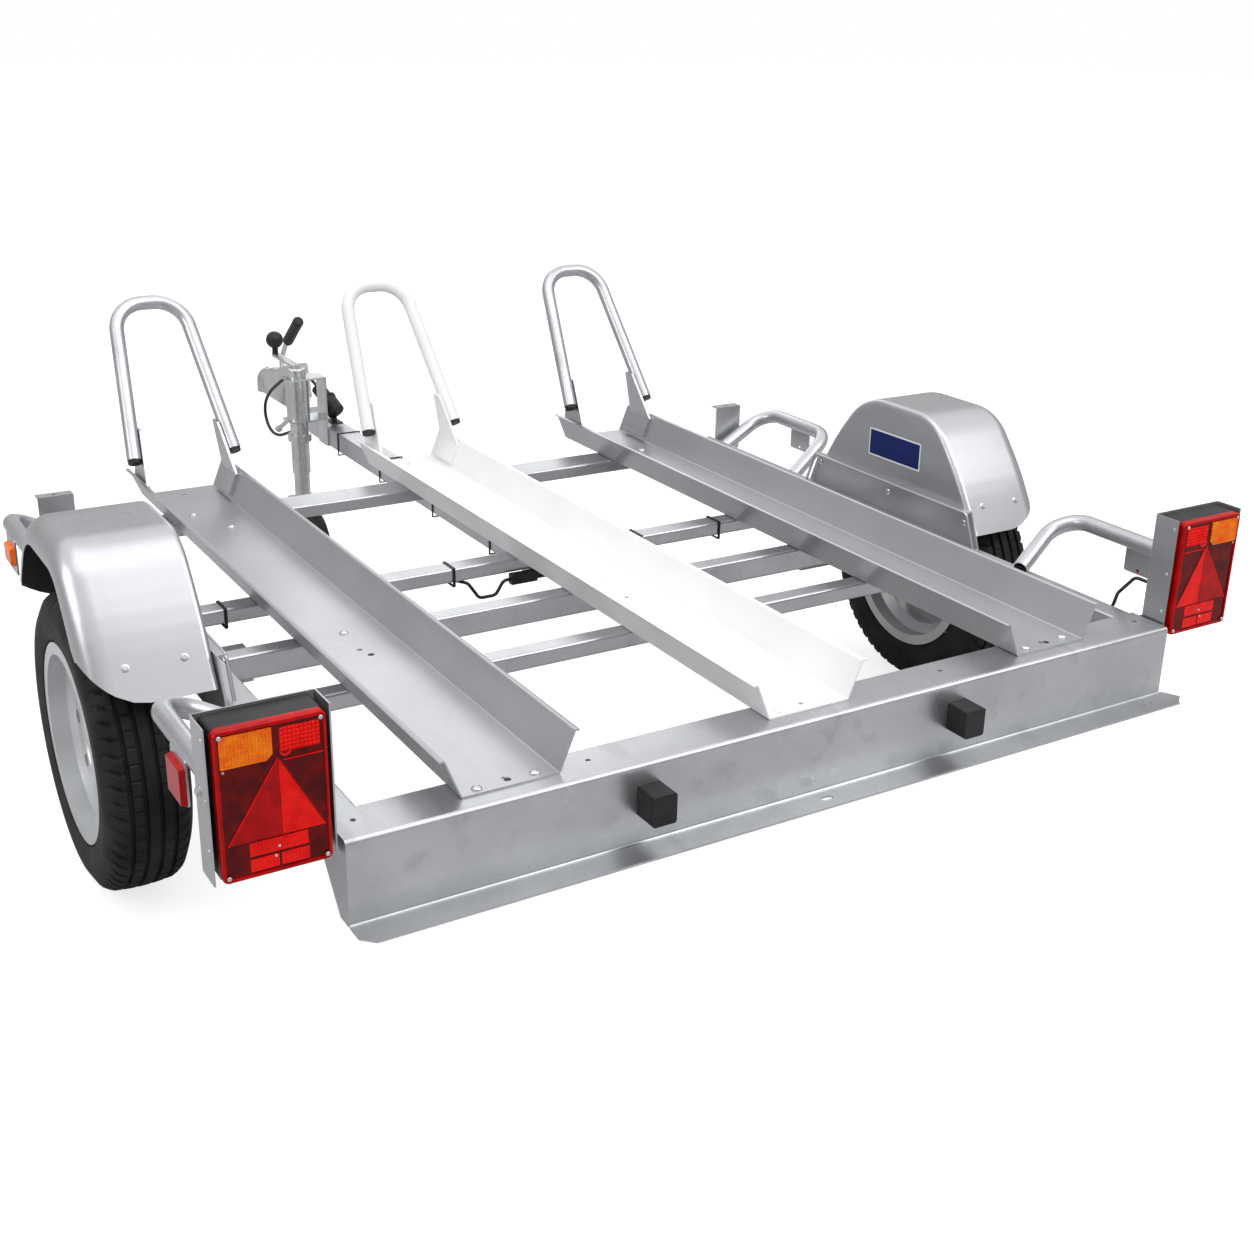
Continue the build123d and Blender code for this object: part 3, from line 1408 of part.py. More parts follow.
for _, s in sides:
    tail = [
        (s * side_outer, ahead(tail_ahead), tail_height),
        (s * (side_outer + tail_out), ahead(tail_ahead), tail_height),
        (s * (side_outer + tail_out), ahead(tail_ahead) - wiring_bend / 2, tail_height + 2 * wiring_bend),
        (s * (side_outer + tail_out), tray_back + 2 * wiring_bend, rear_bumper_height - wiring_bend),
        (s * (side_outer + tail_out), tray_back, rear_bumper_height - wiring_bend),
    ]
    wiring_table.append((tail, wiring_bend))
with BuildPart() as wiring_runs:
    for route, radius in wiring_table:
        with BuildLine() as bend:
            FilletPolyline(*route, radius=radius)
        with BuildSketch(Plane(bend.line @ 0, z_dir=bend.line % 0)):
            Circle(wiring / 2)
        sweep()
save(wiring_runs.part, "wiring")

# Ties round members and wiring, with the gland and the connector: each tie's plane, middle, width and height
tie_table = []
for distance in drawbar_ties:
    low = wiring_z - wiring / 2
    tie_table.append(
        (Plane.XZ.offset(-ahead(distance)), 0, (low + drawbar_top) / 2, drawbar_width, drawbar_top - low)
    )
for x in member_ties:
    for _, s in sides:
        low = member_z - wiring / 2
        tie_table.append(
            (Plane.YZ.offset(s * x), second_y, (low + frame_top) / 2, second_member_width, frame_top - low)
        )
with BuildPart() as wiring_ties:
    for plane, across, up, width, height in tie_table:
        with BuildSketch(plane):
            with Locations((across, up)):
                Rectangle(width + 2 * (slip_gap + tie_sheet), height + 2 * (slip_gap + tie_sheet))
                Rectangle(width + 2 * slip_gap, height + 2 * slip_gap, mode=Mode.SUBTRACT)
        extrude(amount=tie_width / 2, both=True)
    with BuildSketch(Plane.XZ.offset(-cable_start.Y)):
        with Locations((0, drawbar_bottom - gland_width / 2)):
            Rectangle(gland_width, gland_width)
    extrude(amount=gland_length)
    with BuildSketch(Plane.YZ.offset(connector_left)):
        with Locations((connector_y, connector_middle)):
            Rectangle(connector_depth, connector_height)
    extrude(amount=connector_length)
save(wiring_ties.part, "wiring_ties")
print("front end and wiring made")
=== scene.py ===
import json
import math

import bmesh
import bpy
from mathutils import Matrix, Vector
from mathutils.bvhtree import BVHTree


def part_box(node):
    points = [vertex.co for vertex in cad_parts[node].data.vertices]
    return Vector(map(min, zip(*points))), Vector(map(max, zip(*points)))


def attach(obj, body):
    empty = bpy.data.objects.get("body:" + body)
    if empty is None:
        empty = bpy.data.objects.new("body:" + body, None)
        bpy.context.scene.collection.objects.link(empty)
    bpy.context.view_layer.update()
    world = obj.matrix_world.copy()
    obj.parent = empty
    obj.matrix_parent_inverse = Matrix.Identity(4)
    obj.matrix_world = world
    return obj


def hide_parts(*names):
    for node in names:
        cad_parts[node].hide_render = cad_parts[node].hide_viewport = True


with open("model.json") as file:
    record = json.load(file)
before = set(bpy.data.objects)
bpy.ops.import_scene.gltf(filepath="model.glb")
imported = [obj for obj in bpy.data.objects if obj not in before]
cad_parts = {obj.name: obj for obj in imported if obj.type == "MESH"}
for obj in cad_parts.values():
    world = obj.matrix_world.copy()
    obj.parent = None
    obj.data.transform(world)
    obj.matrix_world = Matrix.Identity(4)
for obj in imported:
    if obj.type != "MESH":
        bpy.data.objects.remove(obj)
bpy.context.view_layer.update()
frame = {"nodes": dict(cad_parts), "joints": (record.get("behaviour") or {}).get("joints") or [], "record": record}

nodes = frame["nodes"]
joints = {joint["name"]: joint for joint in frame["joints"]}
sides = (("left", -1), ("right", 1))
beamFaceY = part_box("plate_lamps")[1][1]  # the rear beam's face, from which distances ahead are taken
print("frame loaded")


def ahead(distance):
    return beamFaceY + distance


# Camera at the photograph's place: degrees, and the shift in shares of the frame
camera = {
    "place": (-1.5215, ahead(-1.8510), 1.5379),
    "yaw": 32.397,
    "pitch": -21.088,
    "roll": 1.488,
    "lens": 45.60,
    "sensor": 36,
    "shift": (-0.0163, -0.0201),
}


def placeCamera():
    yaw, pitch, roll = (math.radians(camera[key]) for key in ("yaw", "pitch", "roll"))
    forward = Vector((math.sin(yaw) * math.cos(pitch), math.cos(yaw) * math.cos(pitch), math.sin(pitch)))
    level = Vector((math.cos(yaw), -math.sin(yaw), 0))
    upright = level.cross(forward)
    right = level * math.cos(roll) + upright * math.sin(roll)
    up = right.cross(forward)
    data = bpy.data.cameras.new("camera")
    data.sensor_width = camera["sensor"]
    data.lens = camera["lens"]
    data.shift_x, data.shift_y = camera["shift"]
    eye = bpy.data.objects.new("camera", data)
    turn = Matrix((right, up, -forward)).transposed().to_4x4()
    eye.matrix_world = Matrix.Translation(camera["place"]) @ turn
    bpy.context.scene.collection.objects.link(eye)
    bpy.context.scene.camera = eye


placeCamera()

# Lighting cable: from the drawbar's gland round in a loop, and back into its plug.
# Points are across, ahead of the beam's face, and up.
cable = {
    "diameter": 0.009,
    "length": 0.72,
    "pointRadius": 0.01,  # each point's share of the tube's size
    "roundSteps": 5,
    "lengthSteps": 16,
    "points": (
        (0.0, 2.262, 0.353), (0.0, 2.312, 0.353), (-0.022, 2.368, 0.350), (-0.040, 2.424, 0.330),
        (-0.050, 2.474, 0.309), (-0.057, 2.522, 0.312), (-0.061, 2.552, 0.345), (-0.061, 2.552, 0.388),
        (-0.057, 2.520, 0.428), (-0.049, 2.456, 0.468), (-0.042, 2.396, 0.500), (-0.033, 2.332, 0.524),
        (-0.0214, 2.2786, 0.5229), (-0.0110, 2.2425, 0.4964),
    ),
}


def makeCable():
    curve = bpy.data.curves.new("cable", "CURVE")
    curve.dimensions = "3D"
    curve.bevel_depth = cable["diameter"] / 2 / cable["pointRadius"]
    curve.bevel_resolution = cable["roundSteps"]
    curve.resolution_u = cable["lengthSteps"]
    curve.use_fill_caps = True
    spline = curve.splines.new("NURBS")
    spline.points.add(len(cable["points"]) - 1)
    for point, (across, distance, height) in zip(spline.points, cable["points"]):
        point.co = (across, ahead(distance), height, 1)
        point.radius = cable["pointRadius"]
    spline.order_u = 3
    spline.use_endpoint_u = True
    piece = bpy.data.objects.new("cable", curve)
    bpy.context.scene.collection.objects.link(piece)
    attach(piece, "trailer")
    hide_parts("lighting_cable")
    across, distance, height = cable["points"][0]
    return piece


cablePiece = makeCable()
print("camera and cable made")


# Nodes of a material

def newMaterial(name):
    material = bpy.data.materials.new(name)
    material.use_nodes = True
    tree = material.node_tree
    return material, tree, tree.nodes["Principled BSDF"]


def makeNode(tree, kind, **values):  # an input is named with an underscore for a space
    node = tree.nodes.new(kind)
    for key, value in values.items():
        if hasattr(node, key):
            setattr(node, key, value)
        else:
            node.inputs[key.replace("_", " ")].default_value = value
    return node


def noiseOf(tree, scale, detail=3.0, stretch=(1, 1, 1)):
    place = makeNode(tree, "ShaderNodeTexCoord")
    mapping = makeNode(tree, "ShaderNodeMapping", Scale=stretch)
    noise = makeNode(tree, "ShaderNodeTexNoise", Scale=scale, Detail=detail)
    tree.links.new(place.outputs["Object"], mapping.inputs["Vector"])
    tree.links.new(mapping.outputs["Vector"], noise.inputs["Vector"])
    return noise


def rampBetween(tree, source, dark, light, low=0.35, high=0.65):
    ramp = makeNode(tree, "ShaderNodeValToRGB")
    ramp.color_ramp.elements[0].position = low
    ramp.color_ramp.elements[0].color = (*dark, 1)
    ramp.color_ramp.elements[1].position = high
    ramp.color_ramp.elements[1].color = (*light, 1)
    tree.links.new(source, ramp.inputs["Fac"])
    return ramp.outputs["Color"]


def valueBetween(tree, source, low, high, from_=0.3, to=0.7):  # a pattern's usual reach becomes low to high
    spread = makeNode(tree, "ShaderNodeMapRange", From_Min=from_, From_Max=to, To_Min=low, To_Max=high)
    tree.links.new(source, spread.inputs["Value"])
    return spread.outputs["Result"]


def bumpFrom(tree, source, strength, distance):
    bump = makeNode(tree, "ShaderNodeBump", Strength=strength, Distance=distance)
    tree.links.new(source, bump.inputs["Height"])
    return bump.outputs["Normal"]


def timesTone(tree, tone, source, low, from_, to):  # multiply a tone by a grey that a pattern drives
    grey = rampBetween(tree, source, (low, low, low), (1, 1, 1), from_, to)
    mix = makeNode(tree, "ShaderNodeMix", data_type="RGBA", blend_type="MULTIPLY")
    mix.inputs[0].default_value = 1.0
    tree.links.new(tone, mix.inputs[6])
    tree.links.new(grey, mix.inputs[7])
    return mix.outputs[2]


metalPatterns = {
    "flakeTone": 0.97, "flakeReach": (0.1, 0.7),
    "scuffTone": 0.86, "scuffReach": (0.30, 0.42), "scuffDetail": 6.0, "scuffStretch": (1, 0.2, 1),
    "grainDepth": 0.0004, "specular": 0.5,
}


def metalMaterial(name, look):  # clouds of tone, zinc flakes, scuffs, and a fine grain in roughness and bump
    look = {**metalPatterns, **look}
    material, tree, shader = newMaterial(name)
    clouds = noiseOf(tree, look["cloudScale"])
    grain = noiseOf(tree, look["grainScale"], stretch=look.get("stretch", (1, 1, 1)))
    tone = rampBetween(tree, clouds.outputs["Fac"], look["dark"], look["light"])
    if "spangle" in look:
        place = makeNode(tree, "ShaderNodeTexCoord")
        cells = makeNode(tree, "ShaderNodeTexVoronoi", Scale=look["spangle"])
        tree.links.new(place.outputs["Object"], cells.inputs["Vector"])
        tone = timesTone(tree, tone, cells.outputs["Distance"], look["flakeTone"], *look["flakeReach"])
    if "scuffs" in look:
        scuffs = noiseOf(tree, look["scuffs"], look["scuffDetail"], look["scuffStretch"])
        tone = timesTone(tree, tone, scuffs.outputs["Fac"], look["scuffTone"], *look["scuffReach"])
    tree.links.new(tone, shader.inputs["Base Color"])
    tree.links.new(
        valueBetween(tree, grain.outputs["Fac"], look["smooth"], look["rough"]), shader.inputs["Roughness"]
    )
    tree.links.new(
        bumpFrom(tree, grain.outputs["Fac"], look["bump"], look["grainDepth"]), shader.inputs["Normal"]
    )
    shader.inputs["Metallic"].default_value = look["metallic"]
    shader.inputs["Specular IOR Level"].default_value = look["specular"]
    return material


metalLooks = {
    "galvanised": dict(dark=(0.505, 0.515, 0.53), light=(0.575, 0.585, 0.60), cloudScale=7, grainScale=260,
                       spangle=150, scuffs=18, smooth=0.27, rough=0.37, bump=0.07, metallic=0.9),
    "galvanised_sheet": dict(dark=(0.49, 0.495, 0.51), light=(0.535, 0.54, 0.555), cloudScale=4,
                             grainScale=300, stretch=(1, 0.15, 1), scuffs=9, scuffTone=0.93, smooth=0.28,
                             rough=0.37, bump=0.035, metallic=0.9),
    "zinc_steel": dict(dark=(0.53, 0.54, 0.545), light=(0.66, 0.67, 0.675), cloudScale=14, grainScale=400,
                       scuffs=40, scuffTone=0.95, smooth=0.20, rough=0.34, bump=0.05, metallic=0.95),
    "rim_steel": dict(dark=(0.60, 0.61, 0.62), light=(0.68, 0.69, 0.70), cloudScale=10, grainScale=500,
                      smooth=0.28, rough=0.40, bump=0.03, metallic=0.6),
    "white_sheet": dict(dark=(0.80, 0.80, 0.805), light=(0.85, 0.85, 0.853), cloudScale=4, grainScale=300,
                        smooth=0.45, rough=0.58, bump=0.02, metallic=0.0),
    "white_tube": dict(dark=(0.80, 0.80, 0.805), light=(0.85, 0.85, 0.853), cloudScale=6, grainScale=300,
                       smooth=0.42, rough=0.55, bump=0.02, metallic=0.0),
    "black_steel": dict(dark=(0.012, 0.012, 0.013), light=(0.03, 0.03, 0.032), cloudScale=12, grainScale=400,
                        specular=0.3, smooth=0.35, rough=0.55, bump=0.08, metallic=0.1),
    "black_plastic": dict(dark=(0.009, 0.009, 0.010), light=(0.02, 0.02, 0.022), cloudScale=20,
                          grainScale=700, specular=0.3, smooth=0.34, rough=0.5, bump=0.12, metallic=0.0),
    "tyre_rubber": dict(dark=(0.008, 0.008, 0.008), light=(0.022, 0.022, 0.022), cloudScale=16,
                        grainScale=500, scuffs=30, specular=0.2, smooth=0.5, rough=0.72, bump=0.1,
                        metallic=0.0),
    "cable_black": dict(dark=(0.007, 0.007, 0.007), light=(0.02, 0.02, 0.021), cloudScale=30,
                        grainScale=600, smooth=0.3, rough=0.45, bump=0.04, metallic=0.0),
    "sticker_blue": dict(dark=(0.002, 0.011, 0.10), light=(0.003, 0.014, 0.13), cloudScale=20, grainScale=500,
                         specular=0.25, smooth=0.25, rough=0.35, bump=0.01, metallic=0.0),
    "sticker_white": dict(dark=(0.80, 0.81, 0.82), light=(0.87, 0.88, 0.89), cloudScale=20, grainScale=500,
                          smooth=0.3, rough=0.4, bump=0.01, metallic=0.0),
}
materials = {name: metalMaterial(name, look) for name, look in metalLooks.items()}


lensPatterns = {
    "clouds": 45, "prismTone": 0.72, "prismReach": (0.0, 0.6), "bump": 0.25, "bumpDepth": 0.0006,
    "smooth": 0.12, "rough": 0.24, "specular": 0.18,
}


def lensMaterial(name, deep, bright, cell):  # a glossy coloured face over a grid of small prisms
    look = lensPatterns
    material, tree, shader = newMaterial(name)
    place = makeNode(tree, "ShaderNodeTexCoord")
    prisms = makeNode(tree, "ShaderNodeTexVoronoi", Scale=cell)
    tree.links.new(place.outputs["Object"], prisms.inputs["Vector"])
    clouds = noiseOf(tree, look["clouds"])
    tone = rampBetween(tree, clouds.outputs["Fac"], deep, bright)
    tone = timesTone(tree, tone, prisms.outputs["Distance"], look["prismTone"], *look["prismReach"])
    tree.links.new(tone, shader.inputs["Base Color"])
    tree.links.new(
        bumpFrom(tree, prisms.outputs["Distance"], look["bump"], look["bumpDepth"]), shader.inputs["Normal"]
    )
    tree.links.new(
        valueBetween(tree, clouds.outputs["Fac"], look["smooth"], look["rough"]), shader.inputs["Roughness"]
    )
    shader.inputs["Specular IOR Level"].default_value = look["specular"]
    return material


lensLooks = {
    "red_lens": dict(deep=(0.36, 0.0, 0.001), bright=(0.52, 0.001, 0.001), cell=300),
    "red_deep": dict(deep=(0.075, 0.0, 0.0), bright=(0.17, 0.0, 0.0), cell=300),
    "red_bright": dict(deep=(0.80, 0.001, 0.001), bright=(0.98, 0.008, 0.004), cell=420),
    "amber_lens": dict(deep=(0.92, 0.10, 0.0), bright=(1.0, 0.24, 0.002), cell=300),
    "clear_lens": dict(deep=(0.72, 0.73, 0.74), bright=(0.86, 0.87, 0.88), cell=300),
}
materials.update({name: lensMaterial(name, **look) for name, look in lensLooks.items()})


# painted shade: a near-black, matt colour for the mudguards' faces that look in to the arch, where shade falls
archShade = {"Base Color": (0.012, 0.012, 0.013, 1), "Metallic": 0.0, "Roughness": 0.6}


def archShadedMaterial(name, outside, guards):  # bright outside, and painted shade: near-black and matt where a face looks in to the arch
    material = materials[outside].copy()
    material.name = name
    tree = material.node_tree
    shader = tree.nodes["Principled BSDF"]
    place = makeNode(tree, "ShaderNodeTexCoord")
    surface = makeNode(tree, "ShaderNodeNewGeometry")
    at = makeNode(tree, "ShaderNodeSeparateXYZ")
    normal = makeNode(tree, "ShaderNodeSeparateXYZ")
    tree.links.new(place.outputs["Object"], at.inputs["Vector"])
    tree.links.new(surface.outputs["True Normal"], normal.inputs["Vector"])

    def mathOf(operation, first, second=None):
        node = makeNode(tree, "ShaderNodeMath", operation=operation)
        for socket, source in zip(node.inputs, (first, second)):
            if isinstance(source, (int, float)):
                socket.default_value = source
            elif source is not None:
                tree.links.new(source, socket)
        return node.outputs["Value"]

    across = mathOf("SUBTRACT", mathOf("ABSOLUTE", at.outputs["X"]), guards.x)
    outward = mathOf("MULTIPLY", normal.outputs["X"], mathOf("SIGN", at.outputs["X"]))
    facing = mathOf("MULTIPLY", across, outward)
    for axis, middle in (("Y", guards.y), ("Z", guards.z)):
        outward = mathOf("MULTIPLY", mathOf("SUBTRACT", at.outputs[axis], middle), normal.outputs[axis])
        facing = mathOf("ADD", facing, outward)
    inside = mathOf("LESS_THAN", facing, 0.0)
    # the painted shade takes over the colour and roughness on faces that look in to the arch
    for socketName, dark in archShade.items():
        socket = shader.inputs[socketName]
        isColour = socketName == "Base Color"
        mix = makeNode(tree, "ShaderNodeMix", data_type="RGBA" if isColour else "FLOAT")
        bareIn, darkIn, out = (6, 7, 2) if isColour else (2, 3, 0)
        if socket.links:
            tree.links.new(socket.links[0].from_socket, mix.inputs[bareIn])
        else:
            mix.inputs[bareIn].default_value = socket.default_value
        mix.inputs[darkIn].default_value = dark
        tree.links.new(inside, mix.inputs[0])
        tree.links.new(mix.outputs[out], socket)
    return material


# Mudguards: a bent band with a rolled inner edge, a round outer edge and a skirt, on a flat inner wall.
# The arch's corners are distance ahead, height and the bend's radius.
mudguard = {
    "arch": ((0.540, 0.444, 0), (0.608, 0.560, 0.60), (0.700, 0.672, 0.12), (0.944, 0.672, 0.16),
             (1.036, 0.560, 0.60), (1.104, 0.444, 0)),
    "width": 0.210,
    "sheet": 0.002,
    "innerEdge": 0.011,
    "outerEdge": 0.044,
    "skirt": 0.048,
    "tail": 0.100,
    "steps": 120,
    "innerSteps": 6,
    "flatSteps": 6,
    "outerSteps": 12,
    "edgeGap": 0.0006,  # keeps the flat's shading flat beside its bends
    "wallGap": 0.0002,
    "middleLift": 0.06,
}
guardLow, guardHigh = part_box("mudguards")
guardWall = guardHigh[0] - mudguard["width"]
guardMiddle = Vector((
    guardWall + mudguard["width"] / 2, (guardLow[1] + guardHigh[1]) / 2, guardLow[2] + mudguard["middleLift"]
))
# the mudguard sheet, with painted shade on its faces inside the arch
materials["mudguard_sheet"] = archShadedMaterial("mudguard_sheet", "galvanised_sheet", guardMiddle)
cablePiece.data.materials.append(materials["cable_black"])
print("materials made")

# Finishes of the CAD nodes: the slot names the material, and edges get a small round
edgeRounds = {
    "usual": 0.0009, "fine": 0.002,
    "rim_left": 0.0025, "rim_right": 0.0025, "jockey_rim": 0.002, "jockey_tyre": 0.003, "plate_lamps": 0.003,
    "safety_chain": 0.0012, "coupling_grip": 0.003, "crank_knob": 0,
}
for subpart in frame["record"]["subparts"]:
    node = nodes[subpart["node"]]
    node.data.materials.clear()
    node.data.materials.append(materials[subpart["material_slot"]])
    width = edgeRounds.get(subpart["node"], edgeRounds["usual"])
    if width:
        bevel = node.modifiers.new("edge", "BEVEL")
        bevel.width = width
        bevel.segments, limit = (3, 32) if width > edgeRounds["fine"] else (2, 40)
        bevel.limit_method = "ANGLE"
        bevel.angle_limit = math.radians(limit)
        bevel.harden_normals = True
print("finishes set")


# Pieces in mesh code

def addPiece(name, bm, material, body="trailer", angle=32):
    mesh = bpy.data.meshes.new(name)
    bmesh.ops.recalc_face_normals(bm, faces=bm.faces)
    bm.to_mesh(mesh)
    bm.free()
    mesh.polygons.foreach_set("use_smooth", [True] * len(mesh.polygons))
    mesh.set_sharp_from_angle(angle=math.radians(angle))
    piece = bpy.data.objects.new(name, mesh)
    bpy.context.scene.collection.objects.link(piece)
    mesh.materials.append(materials[material])
    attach(piece, body)
    return piece


def landOn(piece, start, direction):  # where a line from start meets a piece, and its face's direction there
    mesh = piece.data if isinstance(piece, bpy.types.Object) else nodes[piece].data
    places, faces = [vert.co for vert in mesh.vertices], [face.vertices for face in mesh.polygons]
    tree = BVHTree.FromPolygons(places, faces)
    place, normal, _, _ = tree.ray_cast(Vector(start), Vector(direction))
    if place is None:
        raise ValueError(f"nothing of {piece} lies there: {start}")
    return place, normal if normal.dot(Vector(direction)) < 0 else -normal


def addLathe(bm, place, direction, profile, steps=24, phase=0.0):  # profile: pairs of radius and height
    turn = Vector(direction).to_track_quat("Z", "Y").to_matrix()
    rings = []
    for radius, height in profile:
        count = steps if radius else 1
        rings.append([
            bm.verts.new(Vector(place) + turn @ Vector((
                radius * math.cos(phase + i * math.tau / steps),
                radius * math.sin(phase + i * math.tau / steps),
                height,
            )))
            for i in range(count)
        ])
    for lower, upper in zip(rings, rings[1:]):
        for i in range(steps):
            j = (i + 1) % steps
            corners = [lower[k % len(lower)] for k in (i, j)] + [upper[k % len(upper)] for k in (j, i)]
            corners = list(dict.fromkeys(corners))
            if len(corners) > 2:
                bm.faces.new(corners)
    for ring, flip in ((rings[0], True), (rings[-1], False)):
        if len(ring) > 2:
            bm.faces.new(ring[::-1] if flip else ring)


def addHexBolt(bm, place, direction, size):  # washer, and a hexagon head with its corners turned off
    head, height = size * 0.92, size * 0.62
    addLathe(bm, place, direction, ((size * 1.25, -size * 0.1), (size * 1.25, size * 0.14),
                                    (size * 1.05, size * 0.2), (0, size * 0.2)), 28)
    addLathe(bm, place, direction, ((head, size * 0.15), (head, height), (head * 0.82, height * 1.15),
                                    (0, height * 1.15)), 6, size * 31)


def addDomeBolt(bm, place, direction, size):  # a round, low head, as on a coach bolt
    addLathe(bm, place, direction, (
        (size, -size * 0.1), (size, size * 0.1), (size * 0.88, size * 0.3), (size * 0.6, size * 0.46),
        (size * 0.3, size * 0.53), (0, size * 0.55)), 28)


def addGrid(bm, rows, closed=False):  # faces between rows of points; each row joins up when closed
    verts = [[bm.verts.new(point) for point in row] for row in rows]
    for near, far in zip(verts, verts[1:]):
        count = len(near) if closed else len(near) - 1
        for i in range(count):
            j = (i + 1) % len(near)
            bm.faces.new((near[i], near[j], far[j], far[i]))
    return verts


def addSolid(bm, loops):  # a closed skin through loops of points, with both ends capped
    verts = addGrid(bm, loops, closed=True)
    bm.faces.new(verts[0])
    bm.faces.new(verts[-1])


def roundedRectangle(halfWidth, halfHeight, corner, steps):  # halves reach to the middles of the corner bends
    loop = []
    for quarter, (signX, signY) in enumerate(((1, 1), (-1, 1), (-1, -1), (1, -1))):
        for step in range(steps + 1):
            angle = (quarter + step / steps) * math.pi / 2
            x, y = signX * halfWidth + corner * math.cos(angle), signY * halfHeight + corner * math.sin(angle)
            loop.append((x, y))
    return loop


def roundedRun(corners, turnStep=3):  # a line through corners whose third number is the bend's radius
    points = [Vector(corners[0][:2])]
    for before, here, after in zip(corners, corners[1:], corners[2:]):
        near, bend, far = (Vector(corner[:2]) for corner in (before, here, after))
        wayIn, wayOut = (bend - near).normalized(), (far - bend).normalized()
        turn = wayIn.angle(wayOut)
        sign = 1 if wayIn.x * wayOut.y > wayIn.y * wayOut.x else -1
        start = bend - wayIn * here[2] * math.tan(turn / 2)
        centre = start + Vector((-wayIn.y, wayIn.x)) * sign * here[2]
        count = max(2, round(math.degrees(turn) / turnStep))
        for k in range(count + 1):
            points.append(centre + Matrix.Rotation(sign * turn * k / count, 2) @ (start - centre))
    return points + [Vector(corners[-1][:2])]


archRun = roundedRun(mudguard["arch"])
archLengths = [0.0]
for near, far in zip(archRun, archRun[1:]):
    archLengths.append(archLengths[-1] + (far - near).length)


def archPoint(along):  # place on the arch at a length along it, and the way in to the wheel
    index = max(1, min(len(archRun) - 1, sum(length < along for length in archLengths)))
    near, far = archRun[index - 1], archRun[index]
    share = (along - archLengths[index - 1]) / (archLengths[index] - archLengths[index - 1])
    before = archRun[max(index - 2, 0)]
    after = archRun[min(index + 1, len(archRun) - 1)]
    way = (far - before).lerp(after - near, min(max(share, 0.0), 1.0)).normalized()
    return near.lerp(far, share), Vector((way.y, -way.x))


def archLengthAt(height, fromFront):  # length along the arch where its leg is that high
    order = range(len(archRun) - 1, 0, -1) if fromFront else range(1, len(archRun))
    for index in order:
        start, end = (index, index - 1) if fromFront else (index - 1, index)
        low, high = archRun[start].y, archRun[end].y
        if low <= height <= high:
            share = (height - low) / (high - low)
            return archLengths[start] + share * (archLengths[end] - archLengths[start])
    return archLengths[-1] if fromFront else 0.0


def guardSection():  # the outer and the inner face, as pairs of distance from the wall and in from the arch
    inner, outer, gap = mudguard["innerEdge"], mudguard["outerEdge"], mudguard["edgeGap"]
    flat = mudguard["width"] - outer
    faces = []
    for thick in (0.0, mudguard["sheet"]):
        face = []
        radius = inner - thick
        for k in range(mudguard["innerSteps"] + 1):
            turn = k * math.pi / 2 / mudguard["innerSteps"]
            face.append((inner - radius * math.cos(turn), inner - radius * math.sin(turn)))
        face.append((inner + gap, thick))
        steps = mudguard["flatSteps"]
        face += [(inner + (flat - inner) * k / steps, thick) for k in range(1, steps)]
        face += [(flat - gap, thick), (flat, thick)]
        radius = outer - thick
        for k in range(1, mudguard["outerSteps"] + 1):
            turn = k * math.pi / 2 / mudguard["outerSteps"]
            face.append((flat + radius * math.sin(turn), outer - radius * math.cos(turn)))
        face.append((mudguard["width"] - thick, mudguard["skirt"]))
        faces.append(face)
    return faces


def addMudguard(name, side):
    bm = bmesh.new()
    foot, tail, steps = mudguard["arch"][0][1], mudguard["tail"], mudguard["steps"]
    columns = []
    for face in guardSection():
        column = []
        for across, inward in face:
            over = max(0.0, across - (mudguard["width"] - tail))  # the outer corners of both ends are round
            height = foot + tail - math.sqrt(max(tail ** 2 - over ** 2, 0.0))
            start, end = archLengthAt(height, False), archLengthAt(height, True)
            line = []
            for i in range(steps + 1):
                place, way = archPoint(start + (end - start) * i / steps)
                place = place + way * inward
                line.append(bm.verts.new((side * (guardWall + across), ahead(place.x), place.y)))
            column.append(line)
        columns.append(column)
    outer, inner = columns
    loop = outer + inner[::-1]
    for near, far in zip(loop, loop[1:] + loop[:1]):
        for i in range(steps):
            bm.faces.new((near[i], near[i + 1], far[i + 1], far[i]))
    for i in (0, -1):
        for j in range(len(outer) - 1):
            bm.faces.new((outer[j][i], outer[j + 1][i], inner[j + 1][i], inner[j][i]))
    wall = []
    for depth in (0.0, mudguard["sheet"]):
        line = []
        for i in range(steps + 1):
            place, way = archPoint(archLengths[-1] * i / steps)
            place = place + way * (mudguard["innerEdge"] - mudguard["wallGap"])
            line.append((side * (guardWall + depth), ahead(place.x), max(place.y, foot)))
        wall.append(line)
    addSolid(bm, wall)
    piece = addPiece(f"mudguard_{name}", bm, "mudguard_sheet", angle=40)
    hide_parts("mudguards")
    return piece


guardPieces = {name: addMudguard(name, side) for name, side in sides}
print("mudguards made")

# Road tyres: a turned section with four grooves, and sipes cut into its ribs
tyre = {
    "steps": 480,
    "crownHalf": 0.048,
    "shoulderHalf": 0.061,
    "crownDrop": 0.0035,
    "shoulderDrop": 0.0115,
    "grooveDepth": 0.0065,
    "grooveHalf": 0.0042,
    "grooves": (0.0125, 0.036),
    "pitch": 8,
    "otherSide": 4,  # steps by which the other half's cuts are shifted
    "stagger": 160,
    "slotSteps": (0, 1),
    "slotDepth": 0.006,
    "sipeDepth": 0.0045,
    "sipeBand": (0.015, 0.03),
    "sipeReach": 0.004,
    "middleDrop": 0.45,
    "tuck": (0.0005, 0.001),
    "rimFlange": 0.005,
    "side": ((0.62, 0.86), (0.88, 0.72), (1.0, 0.52), (1.0, 0.46), (0.965, 0.44), (0.9, 0.27), (0.72, 0.12),
             (0.6, 0.06)),
}


